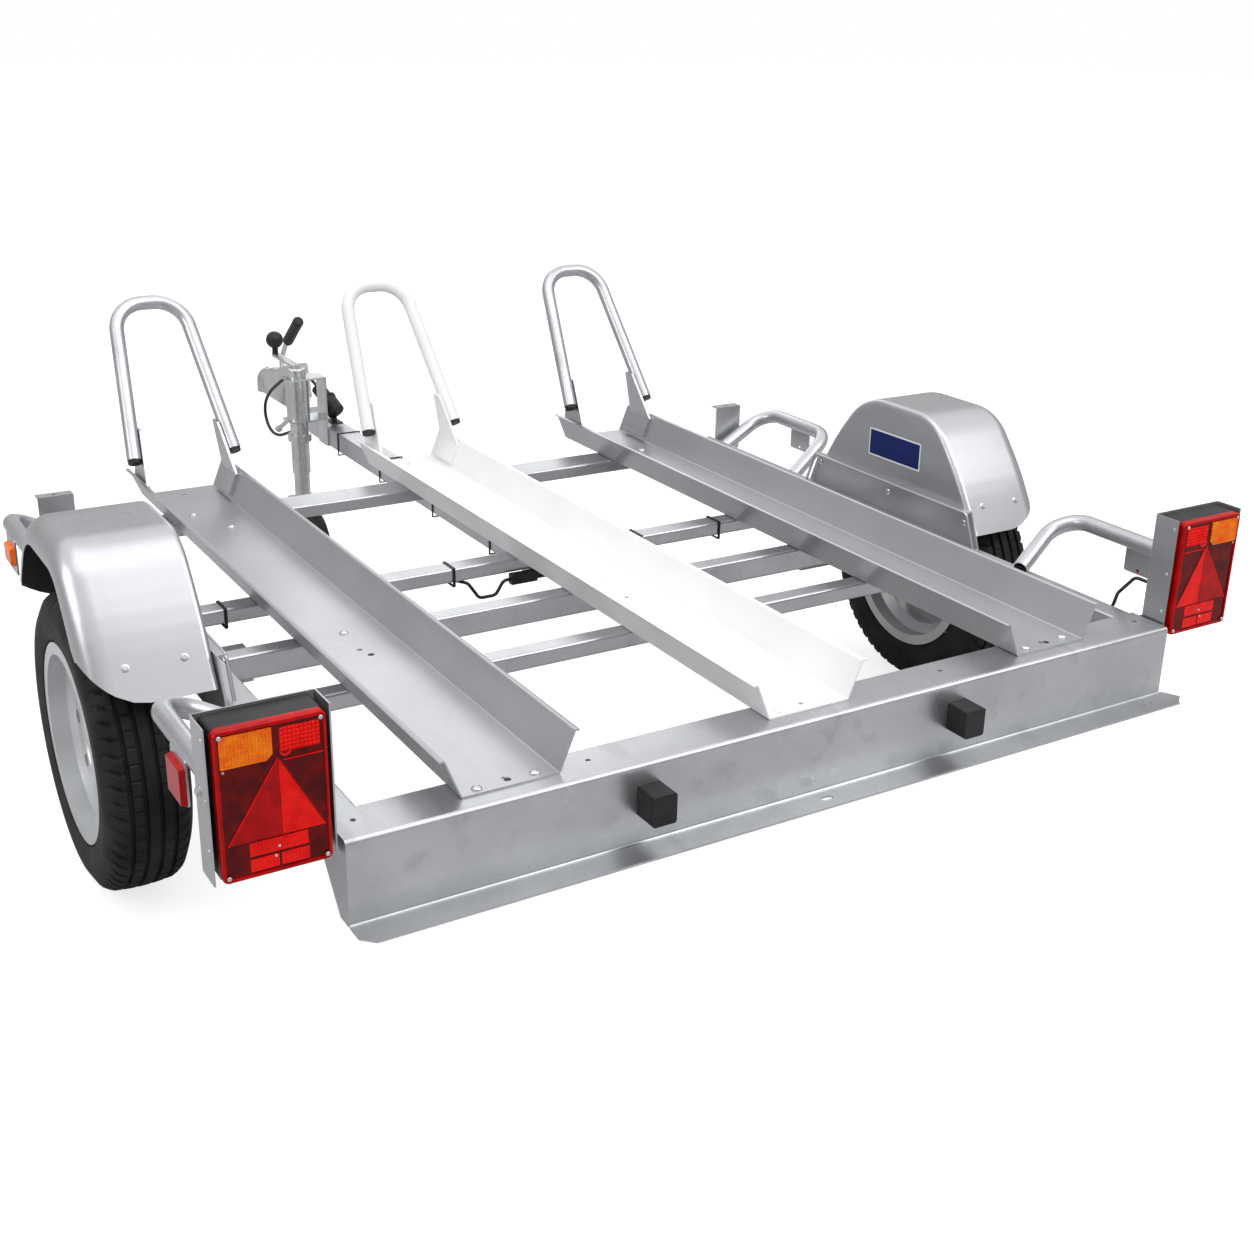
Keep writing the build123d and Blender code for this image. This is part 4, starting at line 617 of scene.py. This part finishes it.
def tyreSection(radius, wideHalf, rimHalf, rimRadius):  # half a section: place across, radius, rib number
    points = [(0.0, radius, 0)]
    for middle in tyre["grooves"]:
        for share, cut in ((-1, 0), (-0.6, 1), (0.6, 1), (1, 0)):
            across = middle + share * tyre["grooveHalf"]
            crown = radius - tyre["crownDrop"] * (across / tyre["crownHalf"]) ** 2
            points.append((across, crown - cut * tyre["grooveDepth"], 0))
    middleHalf = (tyre["crownHalf"] + tyre["shoulderHalf"]) / 2
    middleDrop = (tyre["crownDrop"] + tyre["shoulderDrop"]) * tyre["middleDrop"]
    for across, drop in ((tyre["crownHalf"], tyre["crownDrop"]), (middleHalf, middleDrop),
                         (tyre["shoulderHalf"], tyre["shoulderDrop"])):
        points.append((across, radius - drop, 2))
    lift = radius - tyre["shoulderDrop"] - rimRadius
    for share, height in tyre["side"]:
        near, reach = (rimHalf, 1.0) if height < 0.8 else (tyre["shoulderHalf"], 0.75)
        points.append((near + (wideHalf - near) * share * reach, rimRadius + lift * height, 0))
    points.append((rimHalf - tyre["tuck"][0], rimRadius + tyre["tuck"][1], 0))
    return points


def addTyre(name):
    low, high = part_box(f"tyre_{name}")
    rimLow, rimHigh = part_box(f"rim_{name}")
    middle = (Vector(low) + Vector(high)) / 2
    radius = (high[2] - low[2]) / 2
    half = tyreSection(radius, (high[0] - low[0]) / 2, (rimHigh[0] - rimLow[0]) / 2 - tyre["rimFlange"],
                       (rimHigh[2] - rimLow[2]) / 2)
    section = [(-across, r, rib) for across, r, rib in half[:0:-1]] + half
    bandLow, bandHigh = tyre["sipeBand"]
    rings = []
    for i in range(tyre["steps"] + 1):
        angle = i * math.tau / tyre["steps"]
        ring = []
        for across, r, rib in section:
            shift = (tyre["otherSide"] if across > 0 else 0) + int(abs(across) * tyre["stagger"])
            phase = (i + shift) % tyre["pitch"]
            onBand = bandLow < abs(across) < bandHigh and r > radius - tyre["sipeReach"]
            if rib == 2 and phase in tyre["slotSteps"]:
                r -= tyre["slotDepth"]
            elif rib == 0 and onBand and phase == 0:
                r -= tyre["sipeDepth"]
            ring.append((middle.x + across, middle.y + r * math.cos(angle), middle.z + r * math.sin(angle)))
        rings.append(ring)
    bm = bmesh.new()
    addGrid(bm, rings)
    bmesh.ops.remove_doubles(bm, verts=bm.verts, dist=1e-6)
    piece = addPiece(f"road_tyre_{name}", bm, "tyre_rubber", f"wheel_{name}", 28)
    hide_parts(f"tyre_{name}")


for name, side in sides:
    addTyre(name)
print("tyres made")

# Wheel bolts on the discs, and a valve through each rim
wheelFixings = {
    "boltCircle": 0.049, "boltCount": 4, "boltSize": 0.011,
    "valveCircle": 0.128, "valveSize": 0.0045, "valveLength": 0.026, "valveLean": 0.25, "capSize": 0.0036,
    "castFrom": 0.3,  # distance outside the wheel from which the places on it are found
}
for name, side in sides:
    centre = Vector(joints[f"wheel_{name}_spin"]["pos_m"])
    bolts = bmesh.new()
    for i in range(wheelFixings["boltCount"]):
        angle = math.tau * (i + 0.5) / wheelFixings["boltCount"]
        spot = centre + Vector((side * wheelFixings["castFrom"], wheelFixings["boltCircle"] * math.cos(angle),
                                wheelFixings["boltCircle"] * math.sin(angle)))
        hits = [landOn(node, spot, (-side, 0, 0)) for node in (f"rim_{name}", f"hub_{name}")]
        place = max(hits, key=lambda hit: side * hit[0].x)[0]
        addHexBolt(bolts, place, (side, 0, 0), wheelFixings["boltSize"])
    addPiece(f"wheel_bolts_{name}", bolts, "zinc_steel", f"wheel_{name}")
    valve = bmesh.new()
    spot = centre + Vector((side * wheelFixings["castFrom"], 0.0, wheelFixings["valveCircle"]))
    place = landOn(f"rim_{name}", spot, (-side, 0, 0))[0]
    size, length, cap = (wheelFixings[key] for key in ("valveSize", "valveLength", "capSize"))
    addLathe(valve, place, (side, 0, wheelFixings["valveLean"]), (
        (size * 1.3, -0.002), (size * 1.3, 0.003), (size, 0.006), (size * 0.8, length * 0.6),
        (cap, length * 0.62), (cap, length * 0.96), (0, length)), 16)
    addPiece(f"valve_{name}", valve, "black_plastic", f"wheel_{name}")
print("wheel bolts and valves made")

# Frame bolts: place across and ahead; the bolt lands on the node from above
frameBolts = {
    "rails_outer": dict(size=0.0085, finish="zinc_steel", spots=(
        (-0.607, 0.049), (-0.508, 0.052), (-0.551, 0.711), (-0.584, 1.514), (-0.537, 1.395),
        (0.510, 0.052), (0.609, 0.059), (0.551, 0.711), (0.584, 1.514), (0.537, 1.395))),
    "rail_centre": dict(size=0.0085, finish="white_sheet", spots=(
        (-0.050, 0.052), (0.050, 0.052), (0.0, 0.711), (-0.024, 1.514))),
}
for node, row in frameBolts.items():
    bm = bmesh.new()
    for across, distance in row["spots"]:
        place, normal = landOn(node, (across, ahead(distance), 1.0), (0, 0, -1))
        addDomeBolt(bm, place, normal, row["size"])
    addPiece(f"{node}_bolts", bm, row["finish"])

# Drilled holes in the rails' floors: a pressed rim round a black disc of painted shade that fills the dark bore
railHoles = {
    "size": 0.0062, "rise": 0.0004,
    "spots": ((-0.554, 0.053), (-0.547, 0.593), (0.564, 0.054), (0.547, 0.593)),
}
rims, holeShades = bmesh.new(), bmesh.new()
for across, distance in railHoles["spots"]:
    place, normal = landOn("rails_outer", (across, ahead(distance), 1.0), (0, 0, -1))
    size, rise = railHoles["size"], railHoles["rise"]
    addLathe(rims, place, normal, (
        (size * 1.25, -rise / 2), (size * 1.2, rise * 0.75), (size, rise), (size, -rise)), 28)
    # painted shade: a black disc, almost flush with the floor, in each hole
    addLathe(holeShades, place, normal, ((size * 0.99, -rise * 0.75), (size * 0.99, rise / 4), (0, rise / 4)), 28)
addPiece("rail_hole_rims", rims, "zinc_steel")
addPiece("rail_hole_shades", holeShades, "black_steel")

# Bolts through the arch plates, and through the mudguards' rear slopes
archBolts = {"size": 0.0085, "spots": ((0.828, 0.469), (0.572, 0.468), (1.081, 0.476))}
bm = bmesh.new()
for _, side in sides:
    for distance, height in archBolts["spots"]:
        place, normal = landOn("arch_plates", (side * 0.7, ahead(distance), height), (side, 0, 0))
        addDomeBolt(bm, place, normal, archBolts["size"])
addPiece("arch_bolts", bm, "zinc_steel")

guardBolts = {"size": 0.0055, "height": 0.498, "out": (0.880, 0.976)}
bm = bmesh.new()
for name, side in sides:
    for out in guardBolts["out"]:
        place, normal = landOn(guardPieces[name], (side * out, ahead(0.2), guardBolts["height"]), (0, 1, 0))
        addHexBolt(bm, place, normal, guardBolts["size"])
addPiece("guard_bolts", bm, "zinc_steel")

# Folded edges of the arch plates: a rolled bead over the top and down both ends
archBead = {"radius": 0.0034, "corner": 0.012, "out": 0.0014, "sink": 0.6, "steps": 12, "turnStep": 6}
plateLow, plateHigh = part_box("arch_plates")
plateSide = [vert.co for vert in nodes["arch_plates"].data.vertices if vert.co.x > 0]
plateFace = min(co.x for co in plateSide)


def plateEnds(low, high):  # rearmost and foremost place of the plate between two heights
    reach = [co.y - beamFaceY for co in plateSide if low <= co.z <= high]
    return min(reach), max(reach)


footRear, footFront = plateEnds(plateLow[2], plateLow[2] + 0.001)
topRear, topFront = plateEnds(plateHigh[2] - 0.001, plateHigh[2])
beadRun = roundedRun((
    (footRear, plateLow[2], 0), (topRear, plateHigh[2], archBead["corner"]),
    (topFront, plateHigh[2], archBead["corner"]), (footFront, plateLow[2], 0),
), archBead["turnStep"])
bm = bmesh.new()
for _, side in sides:
    rows = []
    for before, here, after in zip(beadRun[:1] + beadRun, beadRun, beadRun[1:] + beadRun[-1:]):
        way = (after - before).normalized()
        row = []
        for step in range(archBead["steps"]):
            turn = step / archBead["steps"] * math.tau
            place = here + Vector((-way.y, way.x)) * archBead["radius"] * (math.cos(turn) - archBead["sink"])
            across = plateFace + archBead["out"] + archBead["radius"] * math.sin(turn)
            row.append((side * across, ahead(place.x), place.y))
        rows.append(row)
    addSolid(bm, rows)
addPiece("arch_beads", bm, "galvanised_sheet", angle=60)

# Rivets and a nut on the lamp trays' sides: distance ahead and height
trayFixings = {
    "rivet": 0.0036, "rivets": ((0.024, 0.612), (0.026, 0.522), (0.026, 0.447)),
    "nut": 0.007, "nutSpot": (0.052, 0.526), "outside": 1.2, "inside": 0.7,
}
bm = bmesh.new()
for _, side in sides:
    for start, way in ((trayFixings["outside"], -side), (trayFixings["inside"], side)):
        for distance, height in trayFixings["rivets"]:
            place, normal = landOn("lamp_trays", (side * start, ahead(distance), height), (way, 0, 0))
            addDomeBolt(bm, place, normal, trayFixings["rivet"])
    distance, height = trayFixings["nutSpot"]
    spot = (side * trayFixings["outside"], ahead(distance), height)
    place, normal = landOn("lamp_trays", spot, (-side, 0, 0))
    addHexBolt(bm, place, normal, trayFixings["nut"])
addPiece("tray_fixings", bm, "zinc_steel")
print("bolts made")

# Rear lamps' lenses. Places run inboard from the outer edge and down from the top, in shares of the lens.
lens = {
    "width": 0.156,
    "corner": 0.009,
    "steps": 6,
    "chamfer": 0.003,
    "lip": 0.0054,
    "floor": 0.0032,
    "fieldRise": 0.0012,
    "studRise": 0.0014,
    "lineRise": 0.0018,
    "lineHalf": 0.0008,
    "thinHalf": 0.0007,
    "blockRise": 0.0021,
    "blockRibs": 30,  # in the lens's full width
    "blockWave": 0.0005,
    "slope": 0.0008,
    "amber": dict(left=0.046, right=0.505, top=0.036, bottom=0.242, front=-0.0008, ribs=15, wave=0.0007,
                  cut=0.055),
    "studs": dict(left=0.575, right=0.935, top=0.052, bottom=0.212, cell=0.0058, rise=0.0024),
    "apex": (0.553, 0.24),
    "feet": (0.068, 0.95, 0.757),
    "line": ((0.60, 0.264), (0.965, 0.264)),
    "eye": dict(at=(0.622, 0.205), size=0.0085),
    "blocks": ((0.25, 0.78, 0.765, 0.855), (0.25, 0.51, 0.875, 0.958), (0.53, 0.785, 0.875, 0.958)),
    "screws": ((0.055, 0.038), (0.945, 0.038), (0.055, 0.962), (0.945, 0.962)),
    "screwSize": 0.0034,
    "smallScrews": ((0.07, 0.262), (0.515, 0.825), (0.48, 0.885)),
    "smallScrewSize": 0.0021,
}
lensLow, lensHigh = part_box("lamp_lenses")
lens["height"] = lensHigh[2] - lensLow[2]


def lensPoint(side, across, down, depth):  # depth runs forwards from the lens's rear face
    return Vector((side * (lensHigh[0] - across * lens["width"]), lensLow[1] + depth,
                   lensHigh[2] - down * lens["height"]))


def lensOutline(side, inset, depth):  # a rounded rectangle, inset from the lens's edge
    corner = max(lens["corner"] - inset, 0.001)
    halfWidth, halfHeight = (lens[key] / 2 - inset - corner for key in ("width", "height"))
    middle = lensPoint(side, 0.5, 0.5, depth)
    loop = roundedRectangle(halfWidth, halfHeight, corner, lens["steps"])
    return [middle + Vector((x, 0, z)) for x, z in loop]


def addPrism(bm, side, outline, back, front, slope=lens["slope"]):  # a raised field with sloping edges
    middle = sum((Vector(point) for point in outline), Vector((0, 0))) / len(outline)
    loops = []
    for depth, pull in ((back, 0), (front + slope, 0), (front, slope)):
        loop = []
        for point in outline:
            inward = middle - Vector(point)
            near = Vector(point) + inward * min(pull / (inward.length * lens["width"]), 0.5)
            loop.append(lensPoint(side, near.x, near.y, depth))
        loops.append(loop)
    addSolid(bm, loops)


def addRibbed(bm, side, back, left, right, top, bottom, front, ribs, wave, cut=0.0):  # ribs run upright
    ribSteps = 6
    columns = ribs * ribSteps
    rows = []
    for i in range(columns + 1):
        share = left + (right - left) * i / columns
        foot = bottom - max(0.0, share - (right - cut)) * lens["width"] / lens["height"]
        depth = front + wave * (0.5 + 0.5 * math.cos(i / ribSteps * math.tau))
        rows.append([lensPoint(side, share, top, back), lensPoint(side, share, top, depth),
                     lensPoint(side, share, foot, depth), lensPoint(side, share, foot, back)])
    addSolid(bm, rows)


def addStuds(bm, side, back, left, right, top, bottom, cell, rise, front):  # a reflector of small pyramids
    across = round((right - left) * lens["width"] / cell)
    down = round((bottom - top) * lens["height"] / cell)

    def studPoint(i, j, depth):
        return bm.verts.new(
            lensPoint(side, left + (right - left) * i / across, top + (bottom - top) * j / down, depth)
        )

    grid = [[studPoint(i, j, front) for j in range(down + 1)] for i in range(across + 1)]
    for i in range(across):
        for j in range(down):
            peak = studPoint(i + 0.5, j + 0.5, front - rise)
            corners = (grid[i][j], grid[i + 1][j], grid[i + 1][j + 1], grid[i][j + 1])
            for a, b in zip(corners, corners[1:] + corners[:1]):
                bm.faces.new((a, b, peak))
    edge = [grid[i][0] for i in range(across)] + [grid[across][j] for j in range(down)]
    edge += [grid[i][down] for i in range(across, 0, -1)] + [grid[0][j] for j in range(down, 0, -1)]
    depth = Vector((0, back - front, 0))
    below = [bm.verts.new(vert.co + depth) for vert in edge]
    for i in range(len(edge)):
        j = (i + 1) % len(edge)
        bm.faces.new((edge[i], edge[j], below[j], below[i]))
    bm.faces.new(below)


def addStrip(bm, side, start, end, half, back, front):  # a thin moulded line between two places
    start, end = Vector(start), Vector(end)
    run = Vector(((end.x - start.x) * lens["width"], (end.y - start.y) * lens["height"])).normalized()
    off = Vector((-run.y * half / lens["width"], run.x * half / lens["height"]))
    addPrism(bm, side, (start + off, end + off, end - off, start - off), back, front, 0.0003)


for name, side in sides:
    depth = lensHigh[1] - lensLow[1]
    shell, deep, shadedHalves, bright, amber, screws = (bmesh.new() for _ in range(6))
    chamfer, lip = lens["chamfer"], lens["lip"]
    addSolid(shell, [lensOutline(side, inset, at) for inset, at in (
        (0, depth), (0, chamfer), (chamfer * 0.35, chamfer * 0.3), (chamfer, 0), (lip, 0),
        (lip + 0.001, lens["floor"]),
    )])
    base, field, line, block = (
        lens["floor"] - rise for rise in (0, lens["fieldRise"], lens["lineRise"], lens["blockRise"])
    )
    addSolid(deep, [lensOutline(side, lip + 0.0008, at) for at in (base + 0.001, base - 0.0005)])
    addRibbed(amber, side, base, **lens["amber"])
    addStuds(bright, side, base, **lens["studs"], front=base - lens["studRise"])
    apex, (outerFoot, innerFoot, footDown) = lens["apex"], lens["feet"]
    # painted light: the triangle's two halves lie flat at one height; the outer half takes the darker red as
    # painted shade and the inner half the brighter red as painted highlight, and their sloping edge strips the
    # other way round
    addPrism(shadedHalves, side, (apex, (outerFoot, footDown), (apex[0], footDown)), base, field)
    addPrism(bright, side, (apex, (apex[0], footDown), (innerFoot, footDown)), base, field)
    addStrip(bright, side, *lens["line"], lens["thinHalf"], base, line)
    addStrip(bright, side, apex, (outerFoot, footDown), lens["lineHalf"], base, line)
    addStrip(shadedHalves, side, apex, (innerFoot, footDown), lens["lineHalf"], base, line)
    for left, right, top, bottom in lens["blocks"]:
        ribs = round((right - left) * lens["blockRibs"])
        addRibbed(bright, side, base, left, right, top, bottom, block, ribs, lens["blockWave"])
    eye = lensPoint(side, *lens["eye"]["at"], base)
    size = lens["eye"]["size"]
    addLathe(bright, eye, (0, -1, 0), (
        (size, 0), (size, 0.0016), (size * 0.88, 0.0022), (size * 0.66, 0.0022), (size * 0.55, 0.0010),
        (size * 0.55, 0)), 36)
    addLathe(deep, eye, (0, -1, 0), ((size * 0.54, -0.0004), (size * 0.54, 0.0009), (0, 0.0007)), 36)
    for kind, depth in (("screw", 0.0), ("smallScrew", block)):
        for across, down in lens[f"{kind}s"]:
            addDomeBolt(screws, lensPoint(side, across, down, depth), (0, -1, 0), lens[f"{kind}Size"])
    shellPiece = addPiece(f"lamp_shell_{name}", shell, "red_lens")
    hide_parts("lamp_lenses")
    addPiece(f"lamp_floor_{name}", deep, "red_deep")
    addPiece(f"lamp_reflector_shaded_{name}", shadedHalves, "red_lens")
    addPiece(f"lamp_prisms_{name}", bright, "red_bright")
    amberPiece = addPiece(f"lamp_indicator_{name}", amber, "amber_lens", angle=60)
    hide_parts("indicator_lenses")
    addPiece(f"lamp_screws_{name}", screws, "zinc_steel")
print("rear lamps made")

# A screw and a window in each number plate lamp
plateLamps = {
    "places": (-0.335, 0.302), "screw": 0.003, "screwDrop": 0.034,
    "windowHalf": (0.016, 0.007), "windowBack": 0.018, "windowSink": 0.002, "windowDrop": 0.0012,
}
lampLow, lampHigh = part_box("plate_lamps")
screws, windows = bmesh.new(), bmesh.new()
for across in plateLamps["places"]:
    spot = (across, lampLow[1], lampHigh[2] - plateLamps["screwDrop"])
    addDomeBolt(screws, spot, (0, -1, 0), plateLamps["screw"])
    halfX, halfY = plateLamps["windowHalf"]
    middleY = lampLow[1] + plateLamps["windowBack"]
    corners = ((-halfX, -halfY), (halfX, -halfY), (halfX, halfY), (-halfX, halfY))
    heights = (lampLow[2] + plateLamps["windowSink"], lampLow[2] - plateLamps["windowDrop"])
    addSolid(windows, [[Vector((across + x, middleY + y, z)) for x, y in corners] for z in heights])
addPiece("plate_lamp_screws", screws, "black_steel")
addPiece("plate_lamp_windows", windows, "clear_lens")

# Blank label on the right-hand mudguard's inner wall: a white border with a blue field
label = {
    "middle": (0.823, 0.571), "width": 0.178, "height": 0.064, "tilt": math.radians(-0.5), "border": 0.0035,
    "corner": 0.003, "cornerSteps": 4, "sink": 0.0002, "borderOut": 0.0004, "fieldOut": 0.0006,
}


def addPatch(bm, shrink, out):  # a thin rounded rectangle on the wall
    corner, middle = label["corner"], Vector((0, ahead(label["middle"][0]), label["middle"][1]))
    halfWidth, halfHeight = (label[key] / 2 - shrink - corner for key in ("width", "height"))
    loop = roundedRectangle(halfWidth, halfHeight, corner, label["cornerSteps"])
    turn = Matrix.Rotation(label["tilt"], 3, "X")
    addSolid(bm, [[middle + turn @ Vector((guardWall - depth, y, z)) for y, z in loop]
                  for depth in (-label["sink"], out)])


for name, shrink, out, finish in (
    ("label_border", 0.0, label["borderOut"], "sticker_white"),
    ("label_field", label["border"], label["fieldOut"], "sticker_blue"),
):
    bm = bmesh.new()
    addPatch(bm, shrink, out)
    addPiece(name, bm, finish)
print("label made")

# Soft lights, a pale floor and a white background
lights = {
    "over": dict(place=(-0.6, -0.8, 4.0), size=3.2, power=34, target=(0, 0, 0.4)),
    "left": dict(place=(-4.0, -0.4, 2.2), size=1.6, power=26, target=(0, -0.2, 0.4)),
    "rear": dict(place=(2.4, -3.4, 4.0), size=2.6, power=70, target=(0.2, -0.6, 0.4)),
    "front": dict(place=(2.0, 4.2, 2.6), size=2.2, power=18, target=(0, 0.5, 0.4)),
}
for name, light in lights.items():
    data = bpy.data.lights.new(name, "AREA")
    data.shape = "SQUARE"
    data.size = light["size"]
    data.energy = light["power"]
    lamp = bpy.data.objects.new(name, data)
    lamp.location = light["place"]
    lamp.rotation_mode = "QUATERNION"
    lamp.rotation_quaternion = (Vector(light["target"]) - Vector(light["place"])).to_track_quat("-Z", "Y")
    bpy.context.scene.collection.objects.link(lamp)

studio = {
    # place from straight down to straight up, and level there
    "skySteps": ((0.0, 0.46), (0.5, 0.365), (0.66, 0.40), (0.735, 0.46), (0.79, 0.98), (1.0, 1.0)),
    "skyStrength": 1.16,
    "floorColour": (0.46, 0.46, 0.464, 1),
    "floorGlow": 0.76,
    "glossyShare": 0.05,
    "floorSize": 30,
}


def whiteShare(tree):  # how far a ray sees the white background: in full, or in part in what metal mirrors
    path = makeNode(tree, "ShaderNodeLightPath")
    clear = makeNode(tree, "ShaderNodeMath", operation="MAXIMUM")
    mirrored = makeNode(tree, "ShaderNodeMath", operation="MULTIPLY")
    mirrored.inputs[1].default_value = studio["glossyShare"]
    either = makeNode(tree, "ShaderNodeMath", operation="MAXIMUM")
    tree.links.new(path.outputs["Is Camera Ray"], clear.inputs[0])
    tree.links.new(path.outputs["Is Transmission Ray"], clear.inputs[1])
    tree.links.new(path.outputs["Is Glossy Ray"], mirrored.inputs[0])
    tree.links.new(clear.outputs["Value"], either.inputs[0])
    tree.links.new(mirrored.outputs["Value"], either.inputs[1])
    return either.outputs["Value"]


def makeWorld():  # white to the camera; for the object a sky that is bright above and greyer at the horizon
    world = bpy.data.worlds.new("studio")
    world.use_nodes = True
    tree = world.node_tree
    tree.nodes.clear()
    place = makeNode(tree, "ShaderNodeTexCoord")
    split = makeNode(tree, "ShaderNodeSeparateXYZ")
    spread = makeNode(tree, "ShaderNodeMapRange", From_Min=-1.0)
    ramp = makeNode(tree, "ShaderNodeValToRGB")
    elements = ramp.color_ramp.elements
    while len(elements) < len(studio["skySteps"]):
        elements.new(0.5)
    for element, (position, level) in zip(elements, studio["skySteps"]):
        element.position = position
        element.color = (level, level, level * 1.01, 1)
    sky = makeNode(tree, "ShaderNodeBackground", Strength=studio["skyStrength"])
    plain = makeNode(tree, "ShaderNodeBackground", Color=(1, 1, 1, 1), Strength=1.0)
    mix = makeNode(tree, "ShaderNodeMixShader")
    output = makeNode(tree, "ShaderNodeOutputWorld")
    links = tree.links
    links.new(place.outputs["Generated"], split.inputs["Vector"])
    links.new(split.outputs["Z"], spread.inputs["Value"])
    links.new(spread.outputs["Result"], ramp.inputs["Fac"])
    links.new(ramp.outputs["Color"], sky.inputs["Color"])
    links.new(whiteShare(tree), mix.inputs["Fac"])
    links.new(sky.outputs["Background"], mix.inputs[1])
    links.new(plain.outputs["Background"], mix.inputs[2])
    links.new(mix.outputs["Shader"], output.inputs["Surface"])
    bpy.context.scene.world = world


def makeFloor():  # pale, with a soft shadow, and lifted towards white for the camera
    material = bpy.data.materials.new("floor")
    material.use_nodes = True
    tree = material.node_tree
    tree.nodes.clear()
    lift = makeNode(tree, "ShaderNodeMath", operation="MULTIPLY")
    lift.inputs[1].default_value = studio["floorGlow"]
    matt = makeNode(tree, "ShaderNodeBsdfDiffuse", Color=studio["floorColour"])
    glow = makeNode(tree, "ShaderNodeEmission", Color=(1, 1, 1, 1))
    both = makeNode(tree, "ShaderNodeAddShader")
    output = makeNode(tree, "ShaderNodeOutputMaterial")
    tree.links.new(whiteShare(tree), lift.inputs[0])
    tree.links.new(lift.outputs["Value"], glow.inputs["Strength"])
    tree.links.new(matt.outputs["BSDF"], both.inputs[0])
    tree.links.new(glow.outputs["Emission"], both.inputs[1])
    tree.links.new(both.outputs["Shader"], output.inputs["Surface"])
    bm = bmesh.new()
    bmesh.ops.create_grid(bm, x_segments=1, y_segments=1, size=studio["floorSize"])
    mesh = bpy.data.meshes.new("floor")
    bm.to_mesh(mesh)
    bm.free()
    floor = bpy.data.objects.new("floor", mesh)
    floor.location = (0, 0, -0.001)
    mesh.materials.append(material)
    bpy.context.scene.collection.objects.link(floor)


makeWorld()
makeFloor()
bpy.context.scene.view_settings.view_transform = "Standard"
print("lights and floor made")
